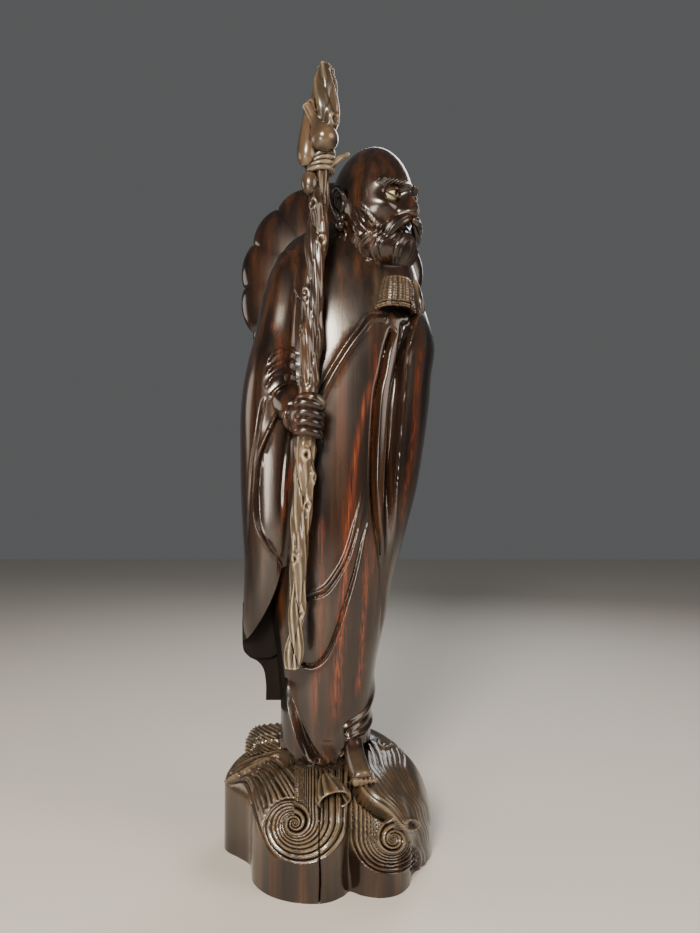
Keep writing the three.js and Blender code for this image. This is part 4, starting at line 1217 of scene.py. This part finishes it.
def makeWood(name, look):
    material = bpy.data.materials.new(name)
    material.use_nodes = True
    tree = material.node_tree
    shader = tree.nodes["Principled BSDF"]
    where = addNode(tree, "ShaderNodeTexCoord").outputs["Object"]

    def grain(size, stretch, detail):
        step = 1 / (size * mm)
        lie = {"Scale": (step, step, step / stretch), "Rotation": (0.02, 0.03, 0)}
        spot = addNode(tree, "ShaderNodeMapping", lie, {"Vector": where}).outputs[0]
        settings = {"Scale": 1.0, "Detail": detail, "Roughness": 0.5}
        return addNode(tree, "ShaderNodeTexNoise", settings, {"Vector": spot}).outputs["Fac"]

    def fitted(value, low, high, most=1.0, least=0.0):
        settings = {"From Min": low, "From Max": high, "To Min": least, "To Max": most}
        return addNode(tree, "ShaderNodeMapRange", settings, {"Value": value}).outputs[0]

    def calculated(operation, first, second):
        return addNode(tree, "ShaderNodeMath", {"operation": operation}, {0: first, 1: second}).outputs[0]

    def painted(name):
        return addNode(tree, "ShaderNodeAttribute", {"attribute_name": name}).outputs["Fac"]

    # size in millimetres, how many times longer along the grain, detail
    bands, lines, cloud = grain(look["bands"], 22, 3), grain(look["lines"], 60, 2), grain(45, 2.5, 2)
    body = ramp(tree, bands, [(0.36, look["dark"]), (0.5, look["mid"]), (0.66, look["brown"])])
    body = mixed(tree, fitted(lines, 0.42, 0.75, 0.5), body, look["dark"])
    streak = calculated("MULTIPLY", painted("red"), fitted(lines, 0.35, 0.62, 1.0, 0.1))
    wild = calculated("MULTIPLY", fitted(bands, 0.58, 0.72), fitted(cloud, 0.45, 0.62, look["redShare"]))
    both = calculated("MAXIMUM", wild, streak)
    body = mixed(tree, fitted(both, 0.05, 0.6, 0.9), body, look["red"])
    body = mixed(tree, fitted(both, 0.5, 0.95, 0.75), body, look["orange"])
    # pale colour on outward bends: real wear at the clasp and the fist, painted sheen on the waves, painted
    # glare on the staff
    paint = painted("rubAndSheen")
    share = fitted(painted("wearAndSheen"), 0.02, 0.6, look["rubAndSheenShare"], look["rubAndSheenLeast"])
    body = mixed(tree, calculated("MULTIPLY", paint, share), body, look["rubAndSheen"])
    # lighter outward bends: wear, with painted sheen on the wave crests
    body = mixed(tree, fitted(painted("wearAndSheen"), 0.25, 0.95, look["wearAndSheenShare"]), body, look["wearAndSheen"])
    # painted shade in hollows and recesses
    body = mixed(tree, fitted(painted("hollow"), 0.12, 0.7, 0.9), body, look["hollow"])
    tree.links.new(body, shader.inputs["Base Color"])
    gloss = fitted(cloud, 0.3, 0.7, look["roughness"] + 0.12, look["roughness"] - 0.04)
    gloss = calculated("MAXIMUM", gloss, fitted(painted("hollow"), 0.5, 0.95, 0.75))
    tree.links.new(gloss, shader.inputs["Roughness"])
    dull = fitted(painted("hollow"), 0.3, 0.95, 0.05, look["coat"])
    tree.links.new(dull, shader.inputs["Coat Weight"])
    tree.links.new(fitted(painted("hollow"), 0.5, 0.95, 0.12, 0.5), shader.inputs["Specular IOR Level"])
    bump = addNode(tree, "ShaderNodeBump", {"Strength": 0.1, "Distance": 0.0003}, {"Height": lines})
    tree.links.new(bump.outputs[0], shader.inputs["Normal"])
    shader.inputs["IOR"].default_value = 1.5
    shader.inputs["Coat Roughness"].default_value = 0.15
    return material


def makePlain(name, code, roughness):
    material = bpy.data.materials.new(name)
    material.use_nodes = True
    shader = material.node_tree.nodes["Principled BSDF"]
    shader.inputs["Base Color"].default_value = linear(code)
    shader.inputs["Roughness"].default_value = roughness
    return material


skins = {"monkLimit": 195000, "staffLimit": 120000, "sharpAngle": 42}  # most triangles, degrees


def finished(thing, name, materials, limit, thin):
    thing.name = name
    thing.data.name = name
    thinned(thing, limit)
    mesh = thing.data
    mesh.materials.clear()
    for material in materials:
        mesh.materials.append(material)
    kinds = eyeFaces(mesh) if len(materials) > 1 else np.zeros(len(mesh.polygons), int)
    mesh.polygons.foreach_set("material_index", kinds)
    mesh.shade_smooth()
    mesh.set_sharp_from_angle(angle=math.radians(skins["sharpAngle"]))
    writeShades(mesh, thin)
    mesh.update()


# Pale floor and soft studio light
studio = {
    "floor": "#d9d6d0", "floorSize": 6000, "world": "#8a8b8c", "worldStrength": 0.4,
    "lights": [  # name, place, size, watts, colour, place that it looks at
        ("key", (-260, -1300, 900), 380, 30, "#fff0dc", (10, 0, 330)),
        ("low", (-420, -1000, 260), 300, 5, "#ffeedd", (0, 0, 100)),
        ("fill", (1000, -600, 700), 800, 8, "#ffeedd", (10, 0, 300)),
        ("rim", (350, 900, 1100), 700, 6, "#ffffff", (0, 0, 400)),
        ("left", (-1100, 0, 600), 600, 3, "#fff2e2", (0, 0, 330)),
    ],
}


def makeStudio():
    bm = bmesh.new()
    half = studio["floorSize"] / 2 * mm
    corners = ((-half, -half, 0), (half, -half, 0), (half, half, 0), (-half, half, 0))
    bm.faces.new([bm.verts.new(v) for v in corners])
    mesh = bpy.data.meshes.new("floor")
    bm.to_mesh(mesh)
    bm.free()
    floor = newObject("floor", mesh)
    mesh.materials.append(makePlain("floorPaint", studio["floor"], 0.7))
    world = bpy.data.worlds.new("studio")
    world.use_nodes = True
    backdrop = world.node_tree.nodes["Background"]
    backdrop.inputs["Color"].default_value = linear(studio["world"])
    backdrop.inputs["Strength"].default_value = studio["worldStrength"]
    bpy.context.scene.world = world
    for name, place, size, watts, colour, aim in studio["lights"]:
        data = bpy.data.lights.new(name, "AREA")
        data.shape = "DISK"
        data.size = size * mm
        data.energy = watts
        data.color = linear(colour)[:3]
        lamp = bpy.data.objects.new(name, data)
        lamp.location = [v * mm for v in place]
        lamp.rotation_euler = (Vector(aim) - Vector(place)).to_track_quat("-Z", "Y").to_euler()
        bpy.context.scene.collection.objects.link(lamp)


print("finish")
woodMonk = makeWood("polishedEbony", ebony)
woodStaff = makeWood("paintedGlareEbony", paintedGlareEbony)
ivory, black = makePlain("ivoryPaint", *paints["ivory"]), makePlain("blackPaint", *paints["black"])
finished(monk, "monk", [woodMonk, ivory, black], skins["monkLimit"], False)
finished(stick, "staff", [woodStaff], skins["staffLimit"], True)
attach(monk, "root")
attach(stick, "root")
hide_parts("monk_on_wave_base")
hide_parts("staff_with_gourds")
makeStudio()
